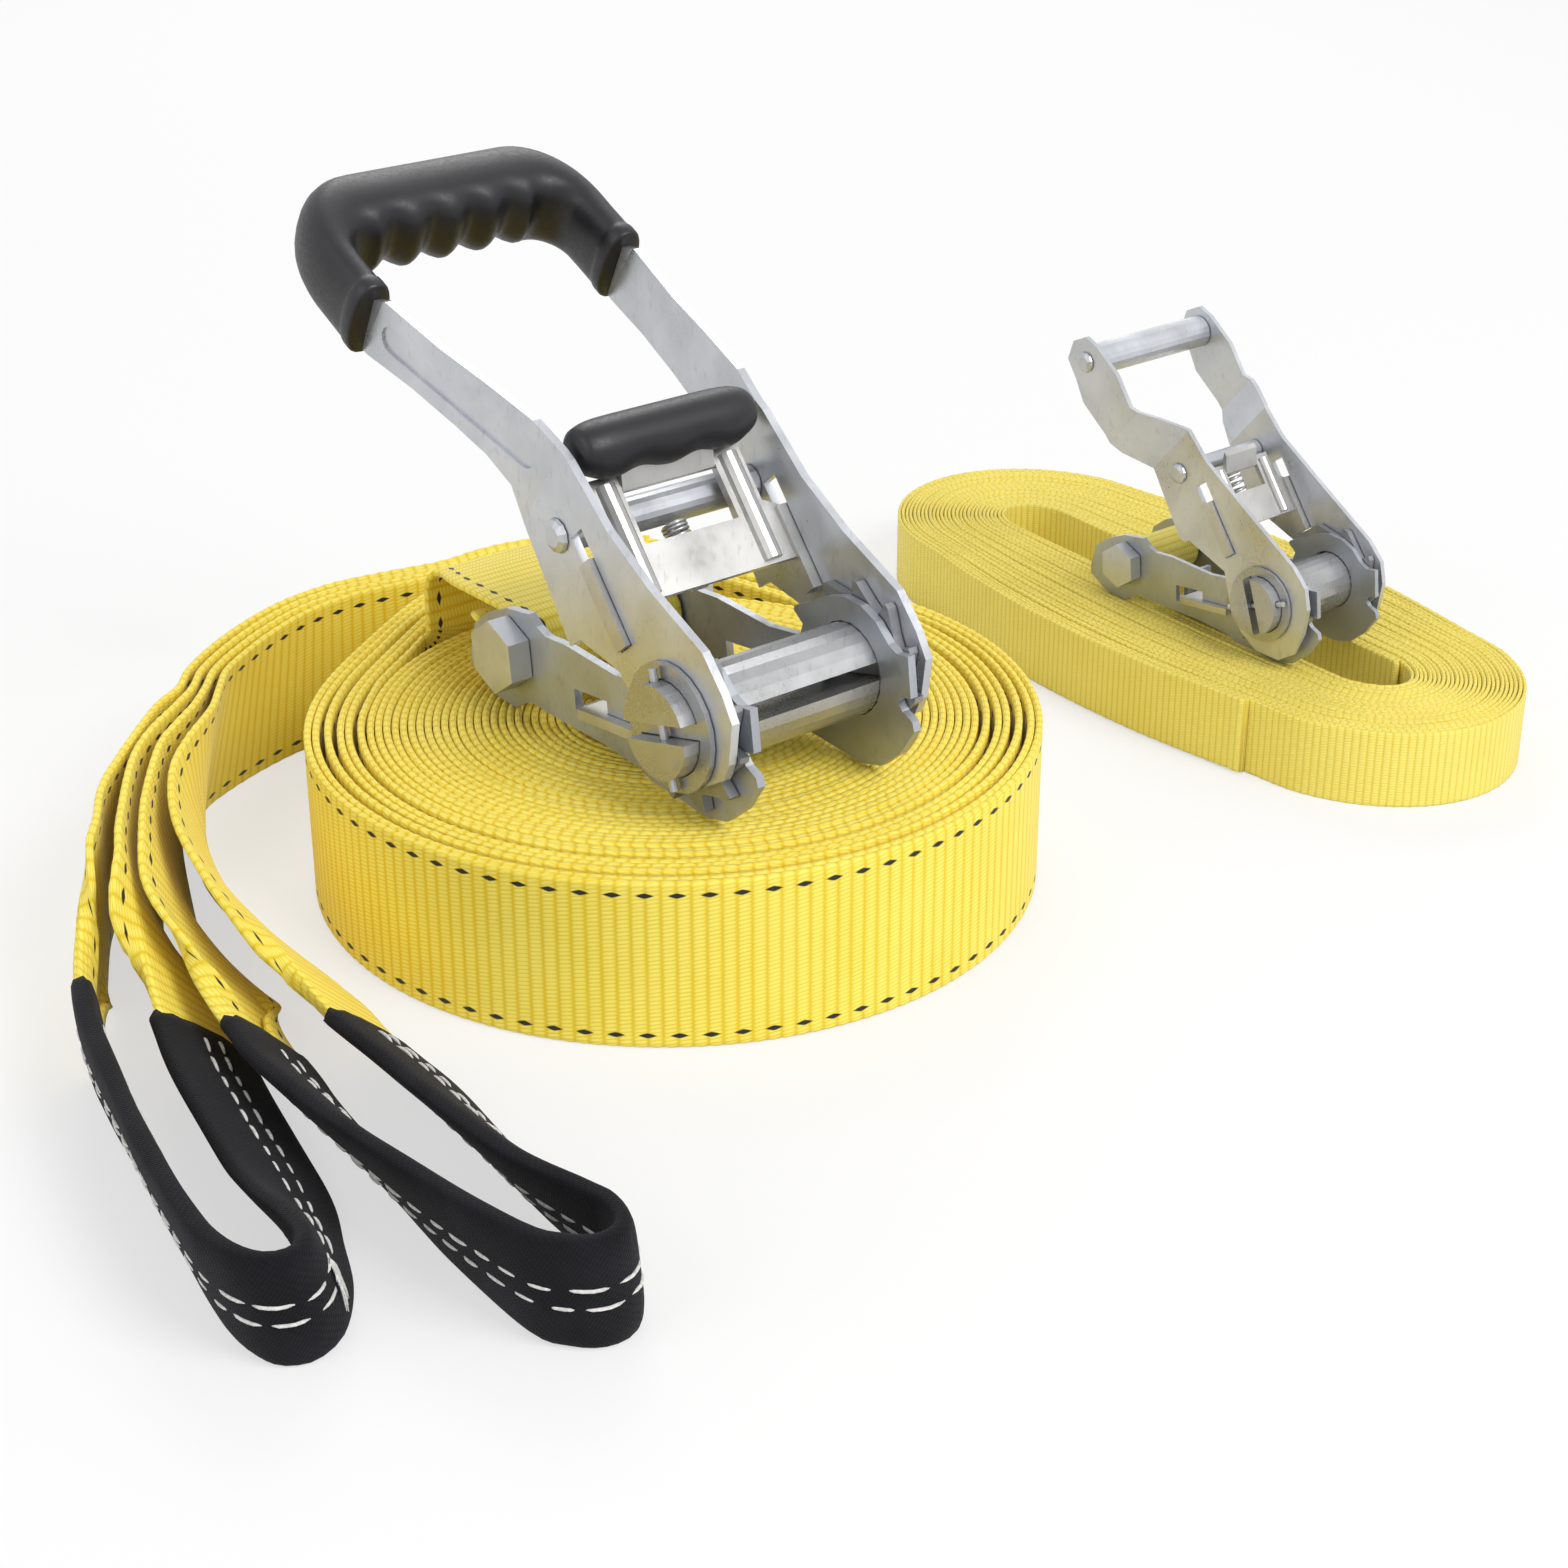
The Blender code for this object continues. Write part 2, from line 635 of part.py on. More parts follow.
def strand(plan, step):
    """Points, widths, thicknesses and width directions of a standing band from plan knots."""
    line = MainLine
    smooth = smooth_path(plan, step, 2)
    points = []
    ups = []
    widths = []
    thicks = []
    for i, (x, y, lean, narrow) in enumerate(smooth):
        share = min(1.0, max(0.0, narrow))
        share = share * share * (3.0 - 2.0 * share)
        before = smooth[max(i - 1, 0)]
        after = smooth[min(i + 1, len(smooth) - 1)]
        ahead = Vector((after[0] - before[0], after[1] - before[1], 0.0)).normalized()
        tilt = math.radians(lean)
        up = UP * math.cos(tilt) + ahead.cross(UP) * math.sin(tilt)
        wide = line.width + (line.eye_width - line.width) * share
        thick = line.thickness + (line.eye_thickness - line.thickness) * share
        wall = (line.sleeve_wall + line.sleeve_gap) * share
        low = (wide / 2.0 + wall) * math.cos(tilt) + (thick / 2.0 + wall) * abs(math.sin(tilt))
        points.append(Vector((x, y, low)))
        ups.append(up)
        widths.append(wide)
        thicks.append(thick)
    return points, widths, thicks, ups


def eye_knots(table):
    """The plan knots of an eye in metres."""
    size = MainLine.coil_radius
    return [(x * size, y * size, lean, narrow) for x, y, lean, narrow in table]


def arc_knots(layer, start, end, step=ARC_STEP_DEGREES):
    """Plan knots along one band of the bundle, from one bearing to another."""
    count = max(1, int(round(abs(end - start) / step)))
    inward = math.copysign(1.0, start - end)
    knots = []
    for i in range(count + 1):
        bearing = start + (end - start) * i / count
        lean = inward * float(np.interp(bearing, LEAN_BEARINGS, BUNDLE_LEANS))
        knots.append(tuple(bundle_point(bearing, layer))[:2] + (lean, 0.0))
    return knots


def sleeve_from(name, points, ups, thicks, parent):
    """Black sleeve over the narrowed part of an eye."""
    line = MainLine
    inside = [i for i, thick in enumerate(thicks) if thick > line.eye_thickness - 0.02 * line.thickness]
    first = inside[0] + 1
    last = inside[-1]
    gap = line.sleeve_gap
    shape = sleeve_tube(points, line.eye_width + 2.0 * gap, line.eye_thickness + 2.0 * gap,
                        line.sleeve_wall, ups, first, last)
    return body(name, shape, SLEEVE_BLACK, parent)


def main_webbing(parent, ratchet_place):
    """The coiled main line, its sewn eye, and the ratchet's own strap."""
    line = MainLine
    thick, pitch, room = coil_layout()
    count = line.loops * COIL_POINTS
    path = [coil_point(i / COIL_POINTS) for i in range(count + 1)]
    gap = least_gap(path, COIL_POINTS, thick)
    print("coil pitch", round(pitch, 5), "least gap", round(gap, 5))
    body("main_line_coil", band(path, line.width, thick), WEBBING_YELLOW, parent)

    start = coil_radius_at(line.loops) + (thick - line.thickness) / 2.0
    clear = math.degrees(Sizes.wound_gap / start)
    first = tuple(polar(start, line.end_bearing + clear))[:2] + (0.0, 0.0)
    knots = [first] + arc_knots(2, line.end_bearing + 15.0, BUNDLE_END_BEARING)
    knots += eye_knots(LINE_LOOP_SHARES)
    knots += arc_knots(3, BUNDLE_END_BEARING, RETURN_BEARING)
    points, widths, thicks, ups = strand(knots, line.step)
    body("main_line_end", band(points, widths, thicks, ups), WEBBING_YELLOW, parent)
    sleeve_from("main_line_sleeve", points, ups, thicks, parent)

    kind = MainRatchet
    turn = Matrix.Rotation(math.radians(kind.bearing), 3, "Z")
    droop = math.radians(kind.frame_droop)
    anchor = Vector(ratchet_place) + turn @ Vector((0.0, kind.frame_length * math.cos(droop),
                                                    -kind.frame_length * math.sin(droop)))
    across = turn @ Vector((1.0, 0.0, 0.0))
    size = line.coil_radius
    wrap = kind.anchor_sleeve_radius + Sizes.sliding_gap + line.thickness / 2.0
    local = [Vector((x * size, y * size, z * size)) for x, y, z in STRAP_UNDER_SHARES]
    for step in range(9):
        angle = math.radians(-60.0 - 210.0 * step / 8.0)
        local.append(Vector((0.0, wrap * math.cos(angle), wrap * math.sin(angle))))
    local += [Vector((x * size, y * size, z * size)) for x, y, z in STRAP_OVER_SHARES]
    points = [anchor + turn @ place for place in local]
    ups = [-across for place in local]
    drop, drop_ups = strap_drop()
    points += drop
    ups += drop_ups
    for bearing, share in zip(STRAP_ALONG_BEARINGS, STRAP_ALONG_SHARES):
        points.append(polar(share * size, bearing) + UP * (line.width / 2.0))
        ups.append(UP.copy())
    for step in range(int(round(STRAP_CHANNEL_TURNS * COIL_POINTS)) + 1):
        points.append(strap_point(line.loops - STRAP_CHANNEL_TURNS + step / COIL_POINTS))
        ups.append(UP.copy())
    wide = [line.width] * len(points)
    flat = [line.thickness] * len(points)
    knots = arc_knots(0, line.end_bearing + 7.5, BUNDLE_END_BEARING)
    knots += eye_knots(STRAP_LOOP_SHARES)
    knots += arc_knots(1, BUNDLE_END_BEARING, RETURN_BEARING)
    more, more_wide, more_thick, more_ups = strand(knots, line.step)
    body("ratchet_strap", band(points + more, wide + more_wide, flat + more_thick, ups + more_ups),
         WEBBING_YELLOW, parent)
    sleeve_from("ratchet_strap_sleeve", more, more_ups, more_thick, parent)


def strap_point(turn):
    """The strap lies against the inside of the coil's last two turns."""
    thick, pitch, room = coil_layout()
    return coil_point(turn, -(pitch + room) / 2.0)


def strap_drop():
    """The strap bends down into the gap, then folds round a low pivot to go on standing on edge."""
    line = MainLine
    size = line.coil_radius
    wall = polar(STRAP_DROP_SHARE * size, STRAP_DROP_BEARING)
    out = wall.normalized()
    along = UP.cross(out)
    top = STRAP_DROP_TOP_SHARE * size
    bend = STRAP_BEND_SHARE * size
    points = []
    for step in range(4):
        angle = math.radians(30.0 * step)
        points.append(wall - out * (bend * (1.0 - math.sin(angle)))
                      + UP * (top - bend * (1.0 - math.cos(angle))))
    ups = [along.copy() for point in points]
    arm_length = line.width / 2.0 + line.thickness
    pivot = wall + along * arm_length + UP * (line.width + line.thickness)
    for step in range(STRAP_FOLD_STEPS + 1):
        angle = math.pi / 2.0 * step / STRAP_FOLD_STEPS
        toward = -along * math.cos(angle) - UP * math.sin(angle)
        points.append(pivot + toward * arm_length)
        ups.append(-toward)
    return points, ups


def hank_path():
    """Plan points of the teaching line's hank, from its slot outward."""
    line = TeachingLine
    turn = Matrix.Rotation(math.radians(line.bearing), 3, "Z")
    steps = [i / 8.0 for i in range(9)]
    outline = []
    for side in (1.0, -1.0):
        for share in steps:
            angle = math.pi * (share - 0.5)
            outline.append((side, math.cos(angle), side * math.sin(angle), 0.0))
        for share in (0.5, 0.0, -0.5):
            outline.append((side * share, 0.0, side, 1.0 - abs(share) ** 2.0))
    core = line.half_length - line.end_depth
    loops = line.loops
    places = []
    for index in range(loops * COIL_POINTS + 1):
        shape = outline[index % COIL_POINTS]
        grown = index / COIL_POINTS / loops
        depth = line.slot_end_depth + (line.end_depth - line.slot_end_depth) * grown
        half = line.slot_half_width + (line.end_half_width - line.slot_half_width) * grown
        swell = (line.half_width - line.end_half_width) * grown
        along = shape[0] * core + math.copysign(shape[1] * depth, shape[0])
        across = shape[2] * half + math.copysign(shape[3] * swell, shape[2])
        place = turn @ Vector((along, across, 0.0))
        places.append(place + Vector((line.middle[0], line.middle[1], line.width / 2.0)))
    first = int(round(line.start_turn_share * COIL_POINTS))
    return places[first:]


def teaching_webbing(parent, ratchet_place):
    """The teaching line's hank and the strap on its ratchet."""
    line = TeachingLine
    thick = line.layers_in_a_loop * line.layer_thickness
    path = hank_path()
    print("hank least gap", round(least_gap(path, COIL_POINTS, thick), 5))
    body("teaching_line_coil", band(path, line.width, thick), WEBBING_YELLOW, parent)

    kind = SmallRatchet
    turn = Matrix.Rotation(math.radians(kind.bearing), 3, "Z")
    droop = math.radians(kind.frame_droop)
    anchor = Vector(ratchet_place) + turn @ Vector((0.0, kind.frame_length * math.cos(droop),
                                                    -kind.frame_length * math.sin(droop)))
    web = kind.webbing_thickness
    wrap = kind.anchor_sleeve_radius + Sizes.sliding_gap + web / 2.0
    points = []
    ups = []
    for step in range(10):
        angle = math.radians(-120.0 - 240.0 * step / 9.0)
        points.append(anchor + turn @ Vector((0.0, wrap * math.cos(angle), wrap * math.sin(angle))))
        ups.append(turn @ Vector((1.0, 0.0, 0.0)))
    size = kind.anchor_sleeve_radius
    knots = [tuple(points[-2]) + (0.0,), tuple(points[-1]) + (0.0,)]
    for x, y, z, spin in STUB_SHARES:
        knots.append(tuple(anchor + turn @ Vector((x * size, y * size, z * size))) + (spin,))
    for x, y, z, spin in smooth_path(knots[1:], size)[1:]:
        points.append(Vector((x, y, z)))
        ups.append(turn @ polar(1.0, spin))
    body("teaching_strap", band(points, line.width, web, ups), WEBBING_YELLOW, parent)


def rod(start, end, radius, segments=SMALL_ROUND_SEGMENTS):
    """A plain cylinder between two points."""
    start = Vector(start)
    end = Vector(end)
    length = (end - start).length
    points, faces = turned([(0.0, 0.0), (0.0, radius), (length, radius), (length, 0.0)], segments)
    turn = Vector((1.0, 0.0, 0.0)).rotation_difference(end - start)
    return [tuple(start + turn @ Vector(point)) for point in points], faces


def hexagon(width):
    """A hexagon by its width across flats."""
    return circle(width / math.sqrt(3.0), HEX_SIDES, start=math.pi / 6.0)


def spring(name, start, end, radius, wire, turns, parent):
    """A coil spring along a line, as round wire."""
    points_in_turn = 7
    start = Vector(start)
    along = Vector(end) - start
    length = along.length - 2.0 * wire
    along.normalize()
    one = along.cross(Vector((1.0, 0.0, 0.0))).normalized()
    two = along.cross(one)
    curve = bpy.data.curves.new(name, "CURVE")
    curve.dimensions = "3D"
    curve.bevel_depth = wire
    curve.bevel_resolution = 1
    curve.use_fill_caps = True
    count = turns * points_in_turn
    line = curve.splines.new("POLY")
    line.points.add(count)
    for i in range(count + 1):
        angle = 2.0 * math.pi * i / points_in_turn
        place = start + along * (wire + length * i / count)
        place += (one * math.cos(angle) + two * math.sin(angle)) * radius
        line.points[i].co = (place.x, place.y, place.z, 1.0)
    curve.materials.append(material(name, DARK_ZINC, 1.0, 0.35))
    made = bpy.data.objects.new(name, curve)
    bpy.context.scene.collection.objects.link(made)
    made.parent = parent
    print(name, "pitch", round(length / turns, 5), "wire", 2.0 * wire)
    return made


def toothed(kind):
    """The ratchet wheel's outline: steep faces one way, long backs the other."""
    pitch = 2.0 * math.pi / kind.teeth
    root = kind.wheel_radius - kind.tooth_depth
    start = math.radians(TOOTH_START_DEGREES)
    loop = []
    for tooth in range(kind.teeth):
        angle = start + pitch * tooth
        for share, depth in ((-0.06, 1.0), (0.0, 0.0), (0.12, 0.04), (0.62, 0.85)):
            radius = root + (kind.wheel_radius - root) * (1.0 - depth)
            loop.append((radius * math.cos(angle + pitch * share), radius * math.sin(angle + pitch * share)))
    return loop


def layers(kind):
    """X distances of the plates' faces from the ratchet's middle."""
    gap = Sizes.touch_gap
    plate_in = kind.webbing_width / 2.0 + kind.webbing_side_gap
    plate_out = plate_in + kind.plate_thickness
    wheel_in = plate_out + gap
    wheel_out = wheel_in + kind.wheel_thickness
    arm_in = wheel_out + gap
    arm_out = arm_in + kind.arm_thickness
    disc_in = arm_out + gap
    disc_out = disc_in + kind.disc_thickness
    return plate_in, plate_out, wheel_in, wheel_out, arm_in, arm_out, disc_in, disc_out


def sized(table, size):
    """Shares of a length as (Y, Z) points."""
    return [(y * size, z * size) for y, z in table]


def spool_height(kind):
    """Height of the spool's axis when the frame's two feet stand on the coil."""
    droop = math.radians(-kind.frame_droop)
    low = min(y * math.sin(droop) + z * math.cos(droop)
              for y, z in sized(FRAME_OUTLINE_SHARES, kind.frame_length))
    return kind.stands_on + Sizes.touch_gap - low


def lock_sizes(kind):
    """The lock's level under the spool's axis, and its spring's radius and wire radius."""
    long = kind.frame_length
    return kind.lock_level_share * long, kind.spring_radius_share * long, kind.spring_wire_share * long


def frame_pieces(kind, frame, name):
    """The two-sided base with its web and spring tab, and the anchor bolt with its nut and sleeve."""
    plate_in, plate_out, wheel_in, wheel_out, arm_in, arm_out, disc_in, disc_out = layers(kind)
    gap = Sizes.touch_gap
    slide = Sizes.sliding_gap
    long = kind.frame_length
    level, coil, wire = lock_sizes(kind)
    lock_low = level - kind.lock_thickness / 2.0
    slot_end = LOCK_BAR_SHARES[1] * long + kind.lock_travel + slide
    slot = box_loop(LOCK_BAR_SHARES[0] * long - slide, slot_end, lock_low - slide, LOCK_SLOT_TOP_SHARE * long)
    holes = [circle(kind.shaft_radius + gap, ROUND_SEGMENTS),
             circle(kind.bolt_radius + gap, SMALL_ROUND_SEGMENTS, (long, 0.0)), slot]
    plates = [prism([sized(FRAME_OUTLINE_SHARES, long)] + holes, side * plate_in, side * plate_out)
              for side in (-1.0, 1.0)]
    middle = (plate_in + plate_out) / 2.0
    y0, y1 = (share * long for share in FRAME_WEB_SHARES)
    web = kind.web_thickness
    z1 = level - coil - wire - Sizes.spring_room - web
    z0 = z1 - FRAME_WEB_FALL_SHARE * long
    web_shape = prism([[(y0, z0), (y1, z1), (y1, z1 + web), (y0, z0 + web)]], -middle, middle)
    tab_y0, tab_y1 = (share * long for share in LOCK_TAB_SHARES)
    tab_half = LOCK_TAB_WIDTH_SHARE * long
    tab = prism([box_loop(tab_y0, tab_y1, z1, LOCK_TAB_TOP_SHARE * long)], -tab_half, tab_half)
    base = body(name + "_base_frame", plates[0], ZINC, frame)
    joined(base, [plates[1], web_shape, tab], "UNION")
    reach = Sizes.cut_overrun
    hole = rod((0.0, tab_y0 - reach, level), (0.0, tab_y1 + reach, level), kind.lock_tail_radius + gap)
    joined(base, [hole], "DIFFERENCE")

    at_bolt = (0.0, long, 0.0)
    head_out = plate_out + gap + kind.bolt_head_height
    tip = plate_out + gap + kind.nut_height + kind.bolt_head_height / 3.0
    head = prism([hexagon(kind.bolt_head_width)], -head_out, -plate_out - gap)
    bolt = body(name + "_anchor_bolt", moved(head, at_bolt), ZINC, frame)
    shank = turned([(-head_out + gap, 0.0), (-head_out + gap, kind.bolt_radius), (tip, kind.bolt_radius),
                    (tip, 0.0)], SMALL_ROUND_SEGMENTS)
    joined(bolt, [moved(shank, at_bolt)], "UNION")
    nut = prism([hexagon(kind.bolt_head_width), circle(kind.bolt_radius + gap, SMALL_ROUND_SEGMENTS)],
                plate_out + gap, plate_out + gap + kind.nut_height)
    body(name + "_anchor_nut", moved(nut, at_bolt), ZINC, frame)
    inner = kind.bolt_radius + gap
    half = plate_in - gap
    sleeve = turned([(-half, inner), (-half, kind.anchor_sleeve_radius), (half, kind.anchor_sleeve_radius),
                     (half, inner)], TUBE_SEGMENTS)
    body(name + "_anchor_sleeve", moved(sleeve, at_bolt), ZINC, frame, smooth=True)


def lock_pieces(kind, frame, name):
    """The sliding lock under the spool, with its spring."""
    plate_in, plate_out, wheel_in, wheel_out, arm_in, arm_out, disc_in, disc_out = layers(kind)
    gap = Sizes.touch_gap
    long = kind.frame_length
    level, coil, wire = lock_sizes(kind)
    low = level - kind.lock_thickness / 2.0
    high = level + kind.lock_thickness / 2.0
    near = min(abs(low), abs(high))
    tip = math.sqrt((kind.wheel_radius + gap) ** 2 - near ** 2) + gap
    bar0, bar1 = (share * long for share in LOCK_BAR_SHARES)
    outline = [(wheel_in, tip), (wheel_out, tip), (wheel_out, bar1), (-wheel_out, bar1), (-wheel_out, tip),
               (-wheel_in, tip), (-wheel_in, bar0), (wheel_in, bar0)]
    slide = empty(name + "_lock_slide", frame, (0.0, bar1, level))
    plate = moved(plan_prism([outline], low, high), (0.0, -bar1, -level))
    pawl = body(name + "_lock_pawl", plate, DARK_ZINC, slide)
    tab_y0, tab_y1 = (share * long for share in LOCK_TAB_SHARES)
    tail_end = tab_y1 + kind.lock_thickness / 2.0 - bar1
    joined(pawl, [rod((0.0, -kind.lock_tail_radius, 0.0), (0.0, tail_end, 0.0), kind.lock_tail_radius)],
           "UNION")
    spring(name + "_lock_spring", (0.0, bar1 + gap, level), (0.0, tab_y0 - gap, level), coil, wire,
           kind.spring_turns, frame)


def spool_pieces(kind, spool, name):
    """Two half-round shafts with a slot between, the wheels and discs keyed on them, and two pins."""
    plate_in, plate_out, wheel_in, wheel_out, arm_in, arm_out, disc_in, disc_out = layers(kind)
    gap = Sizes.touch_gap
    turn = kind.spool_turn
    end = disc_out + kind.shaft_overhang
    flat = kind.shaft_slot / 2.0
    moons = [half_moon(kind.shaft_radius + gap, flat - gap, side, turn) for side in (1, -1)]
    pin_x = disc_out + 2.0 * gap + kind.pin_radius
    upright = Vector((0.0, math.cos(math.radians(turn + 90.0)), math.sin(math.radians(turn + 90.0))))
    pin_half = upright * (kind.shaft_radius + kind.pin_overhang)
    for side, label in ((1, "upper"), (-1, "lower")):
        shape = prism([half_moon(kind.shaft_radius, flat, side, turn)], -end, end)
        half = body(name + "_half_shaft_" + label, shape, ZINC, spool, smooth=True)
        reach = upright * (side * (kind.shaft_radius + Sizes.cut_overrun))
        holes = [rod((x, 0.0, 0.0), Vector((x, 0.0, 0.0)) + reach, kind.pin_radius + gap, 10)
                 for x in (-pin_x, pin_x)]
        joined(half, holes, "DIFFERENCE")
    for side, label in ((-1.0, "near"), (1.0, "far")):
        body(name + "_ratchet_wheel_" + label, prism([toothed(kind)] + moons, side * wheel_in, side * wheel_out),
             DARK_ZINC, spool)
        body(name + "_end_disc_" + label,
             prism([circle(kind.disc_radius, ROUND_SEGMENTS)] + moons, side * disc_in, side * disc_out),
             ZINC, spool)
        middle = Vector((side * pin_x, 0.0, 0.0))
        body(name + "_shaft_pin_" + label, rod(middle - pin_half, middle + pin_half, kind.pin_radius, 10),
             ZINC, spool, smooth=True)


def pawl_profile(kind):
    """Y and Z positions along the drive pawl, in its own tilted plane."""
    level = -kind.pawl_drop
    bottom = level - kind.pawl_thickness / 2.0
    top = level + kind.pawl_thickness / 2.0
    near = min(abs(level - kind.ear_height / 2.0), abs(level + kind.ear_height / 2.0))
    tip = math.sqrt((kind.wheel_radius + Sizes.touch_gap) ** 2 - near ** 2) + Sizes.touch_gap
    web_start = kind.wheel_radius * PAWL_WEB_START_SHARE
    ear_end = kind.wheel_radius * PAWL_EAR_END_SHARE
    return level, bottom, top, tip, web_start, ear_end


def fold_outline(kind, grow):
    """The pawl's turned-up end in its own YZ plane, grown all round by a clearance."""
    level, bottom, top, tip, web_start, ear_end = pawl_profile(kind)
    thick = kind.pawl_thickness
    reach = kind.pawl_reach
    root = reach - kind.finger_rise
    inset = thick * FOLD_INSET_SHARE
    return [(root - 2.0 * thick, bottom + inset - grow), (root - thick / 2.0 + grow, bottom + inset - grow),
            (reach + grow, level + kind.finger_rise + grow), (reach - thick, level + kind.finger_rise + grow),
            (reach - thick - grow, level + kind.finger_rise + grow),
            (root - 2.0 * thick - grow, top - inset + grow)]


def drive_pieces(kind, handle, name):
    """The sliding drive pawl on the lever, its spring, and the finger pull on the large ratchet."""
    plate_in, plate_out, wheel_in, wheel_out, arm_in, arm_out, disc_in, disc_out = layers(kind)
    gap = Sizes.touch_gap
    level, bottom, top, tip, web_start, ear_end = pawl_profile(kind)
    tilt = kind.pawl_tilt
    slide = empty(name + "_drive_slide", handle, tilt=tilt)
    wide = wheel_out
    narrow = plate_in
    window = plate_in - kind.rib_radius * 3.2
    reach = kind.pawl_reach
    root = reach - kind.finger_rise
    outline = [(-wide, web_start), (wide, web_start), (wide, ear_end), (narrow, ear_end + kind.rib_radius),
               (narrow, root), (-narrow, root), (-narrow, ear_end + kind.rib_radius), (-wide, ear_end)]
    bar = kind.pawl_thickness * 1.8
    hole = [(-window, ear_end), (window, ear_end), (window, root - bar), (-window, root - bar)]
    loops = [outline]
    if root - bar - ear_end > bar:
        loops.append(hole)
    pawl = body(name + "_drive_pawl", plan_prism(loops, bottom, top), DARK_ZINC, slide)
    half = kind.ear_height / 2.0
    ear_out = arm_out + kind.ear_overhang
    ears = [prism([box_loop(tip, ear_end, level - half, level + half)], side * wheel_in, side * ear_out)
            for side in (-1.0, 1.0)]
    rib_x = plate_in - kind.rib_radius * 1.6
    rib_end = root - kind.pawl_thickness
    rib_start = web_start + kind.pawl_thickness / 2.0
    ribs = [rod((side * rib_x, rib_start, level + kind.rib_radius * 0.4),
                (side * rib_x, rib_end, level + kind.rib_radius * 0.4), kind.rib_radius,
                SMALL_ROUND_SEGMENTS)
            for side in (-1.0, 1.0)]
    lug_y0 = kind.wheel_radius * LUG_SHARES[0]
    lug_y1 = kind.wheel_radius * LUG_SHARES[1]
    lock_level, inner, wire = lock_sizes(kind)
    coil = inner + wire
    axis_z = bottom - gap - coil
    lug = prism([box_loop(lug_y0, lug_y1, axis_z - coil, level)], -inner, inner)
    fold_half = window * 0.98
    fold = prism([fold_outline(kind, 0.0)], -fold_half, fold_half)
    joined(pawl, ears + ribs + [lug, fold], "UNION")

    turn = math.radians(-tilt)
    tube = Vector((0.0, kind.rivet_reach * math.cos(turn), kind.rivet_reach * math.sin(turn)))
    start = Vector((0.0, lug_y1 + gap, axis_z))
    start.y += coil * abs((tube - start).normalized().z)
    length = (tube - start).length - kind.spacer_radius - gap
    spring(name + "_drive_spring", start, start + (tube - start).normalized() * length, inner, wire,
           kind.drive_spring_turns, slide)

    if kind.rubber_grip:
        centre = Vector((0.0, reach - kind.pawl_thickness / 2.0, level + kind.finger_rise))
        rings = []
        waves = kind.grip_waves
        steps = waves * 3
        long = kind.finger_half_length
        for i in range(steps + 1):
            share = -1.0 + 2.0 * i / steps
            radius = kind.finger_radius * (1.0 - 0.28 * abs(share) ** 8)
            dip = kind.grip_wave * 0.5 * (1.0 + math.cos(math.pi * (share + 1.0) * waves))
            ring = []
            for y, z in circle(radius, SMALL_ROUND_SEGMENTS):
                low = max(0.0, -(y * 0.8 + z * 0.6) / radius)
                shrink = 1.0 - low * dip / radius
                ring.append(centre + Vector((share * long, y * shrink, z * shrink)))
            rings.append(ring)
        pull = body(name + "_finger_pull", swept(rings), RUBBER, slide, smooth=True)
        pocket = prism([fold_outline(kind, gap)], -fold_half - gap, fold_half + gap)
        joined(pull, [pocket], "DIFFERENCE")
    return slide


def arm(kind, name, side, handle, table, holes):
    """One flat side of the lever, stepped outward along its length."""
    plate_in, plate_out, wheel_in, wheel_out, arm_in, arm_out, disc_in, disc_out = layers(kind)
    long = kind.handle_length
    shape = prism([sized(table, long)] + holes, side * arm_in, side * arm_out)
    made = body(name, shape, ZINC, handle)
    if kind.rubber_grip:
        start, end = sized(GROOVE_SHARES, long)
        depth = kind.arm_thickness * GROOVE_DEPTH_SHARE
        groove = prism([capsule(start, end, GROOVE_WIDTH_SHARE * long)], side * (arm_out - depth),
                       side * (arm_out + Sizes.cut_overrun))
        joined(made, [groove], "DIFFERENCE")
    mesh = made.data
    work = bmesh.new()
    work.from_mesh(mesh)
    first = kind.splay_from_share * long
    last = kind.splay_to_share * long
    for place in (first, last):
        parts = work.verts[:] + work.edges[:] + work.faces[:]
        bmesh.ops.bisect_plane(work, geom=parts, dist=WELD_DISTANCE, plane_co=(0.0, place, 0.0),
                               plane_no=(0.0, 1.0, 0.0))
    for vert in work.verts:
        share = min(1.0, max(0.0, (vert.co.y - first) / (last - first)))
        vert.co.x += side * kind.arm_splay * share
    work.to_mesh(mesh)
    work.free()
    return made


def riveted(kind, x_out, centre):
    """A rivet through both arms with a shallow head at each end."""
    gap = Sizes.touch_gap
    radius = kind.rivet_radius
    head = kind.rivet_head_radius
    high = kind.rivet_head_height
    end = x_out + gap
    profile = [(-end - high, 0.0), (-end - high, head * 0.6), (-end - high * 0.5, head * 0.92), (-end, head),
               (-end, radius), (end, radius), (end, head), (end + high * 0.5, head * 0.92),
               (end + high, head * 0.6), (end + high, 0.0)]
    return moved(turned(profile, SMALL_ROUND_SEGMENTS), centre)


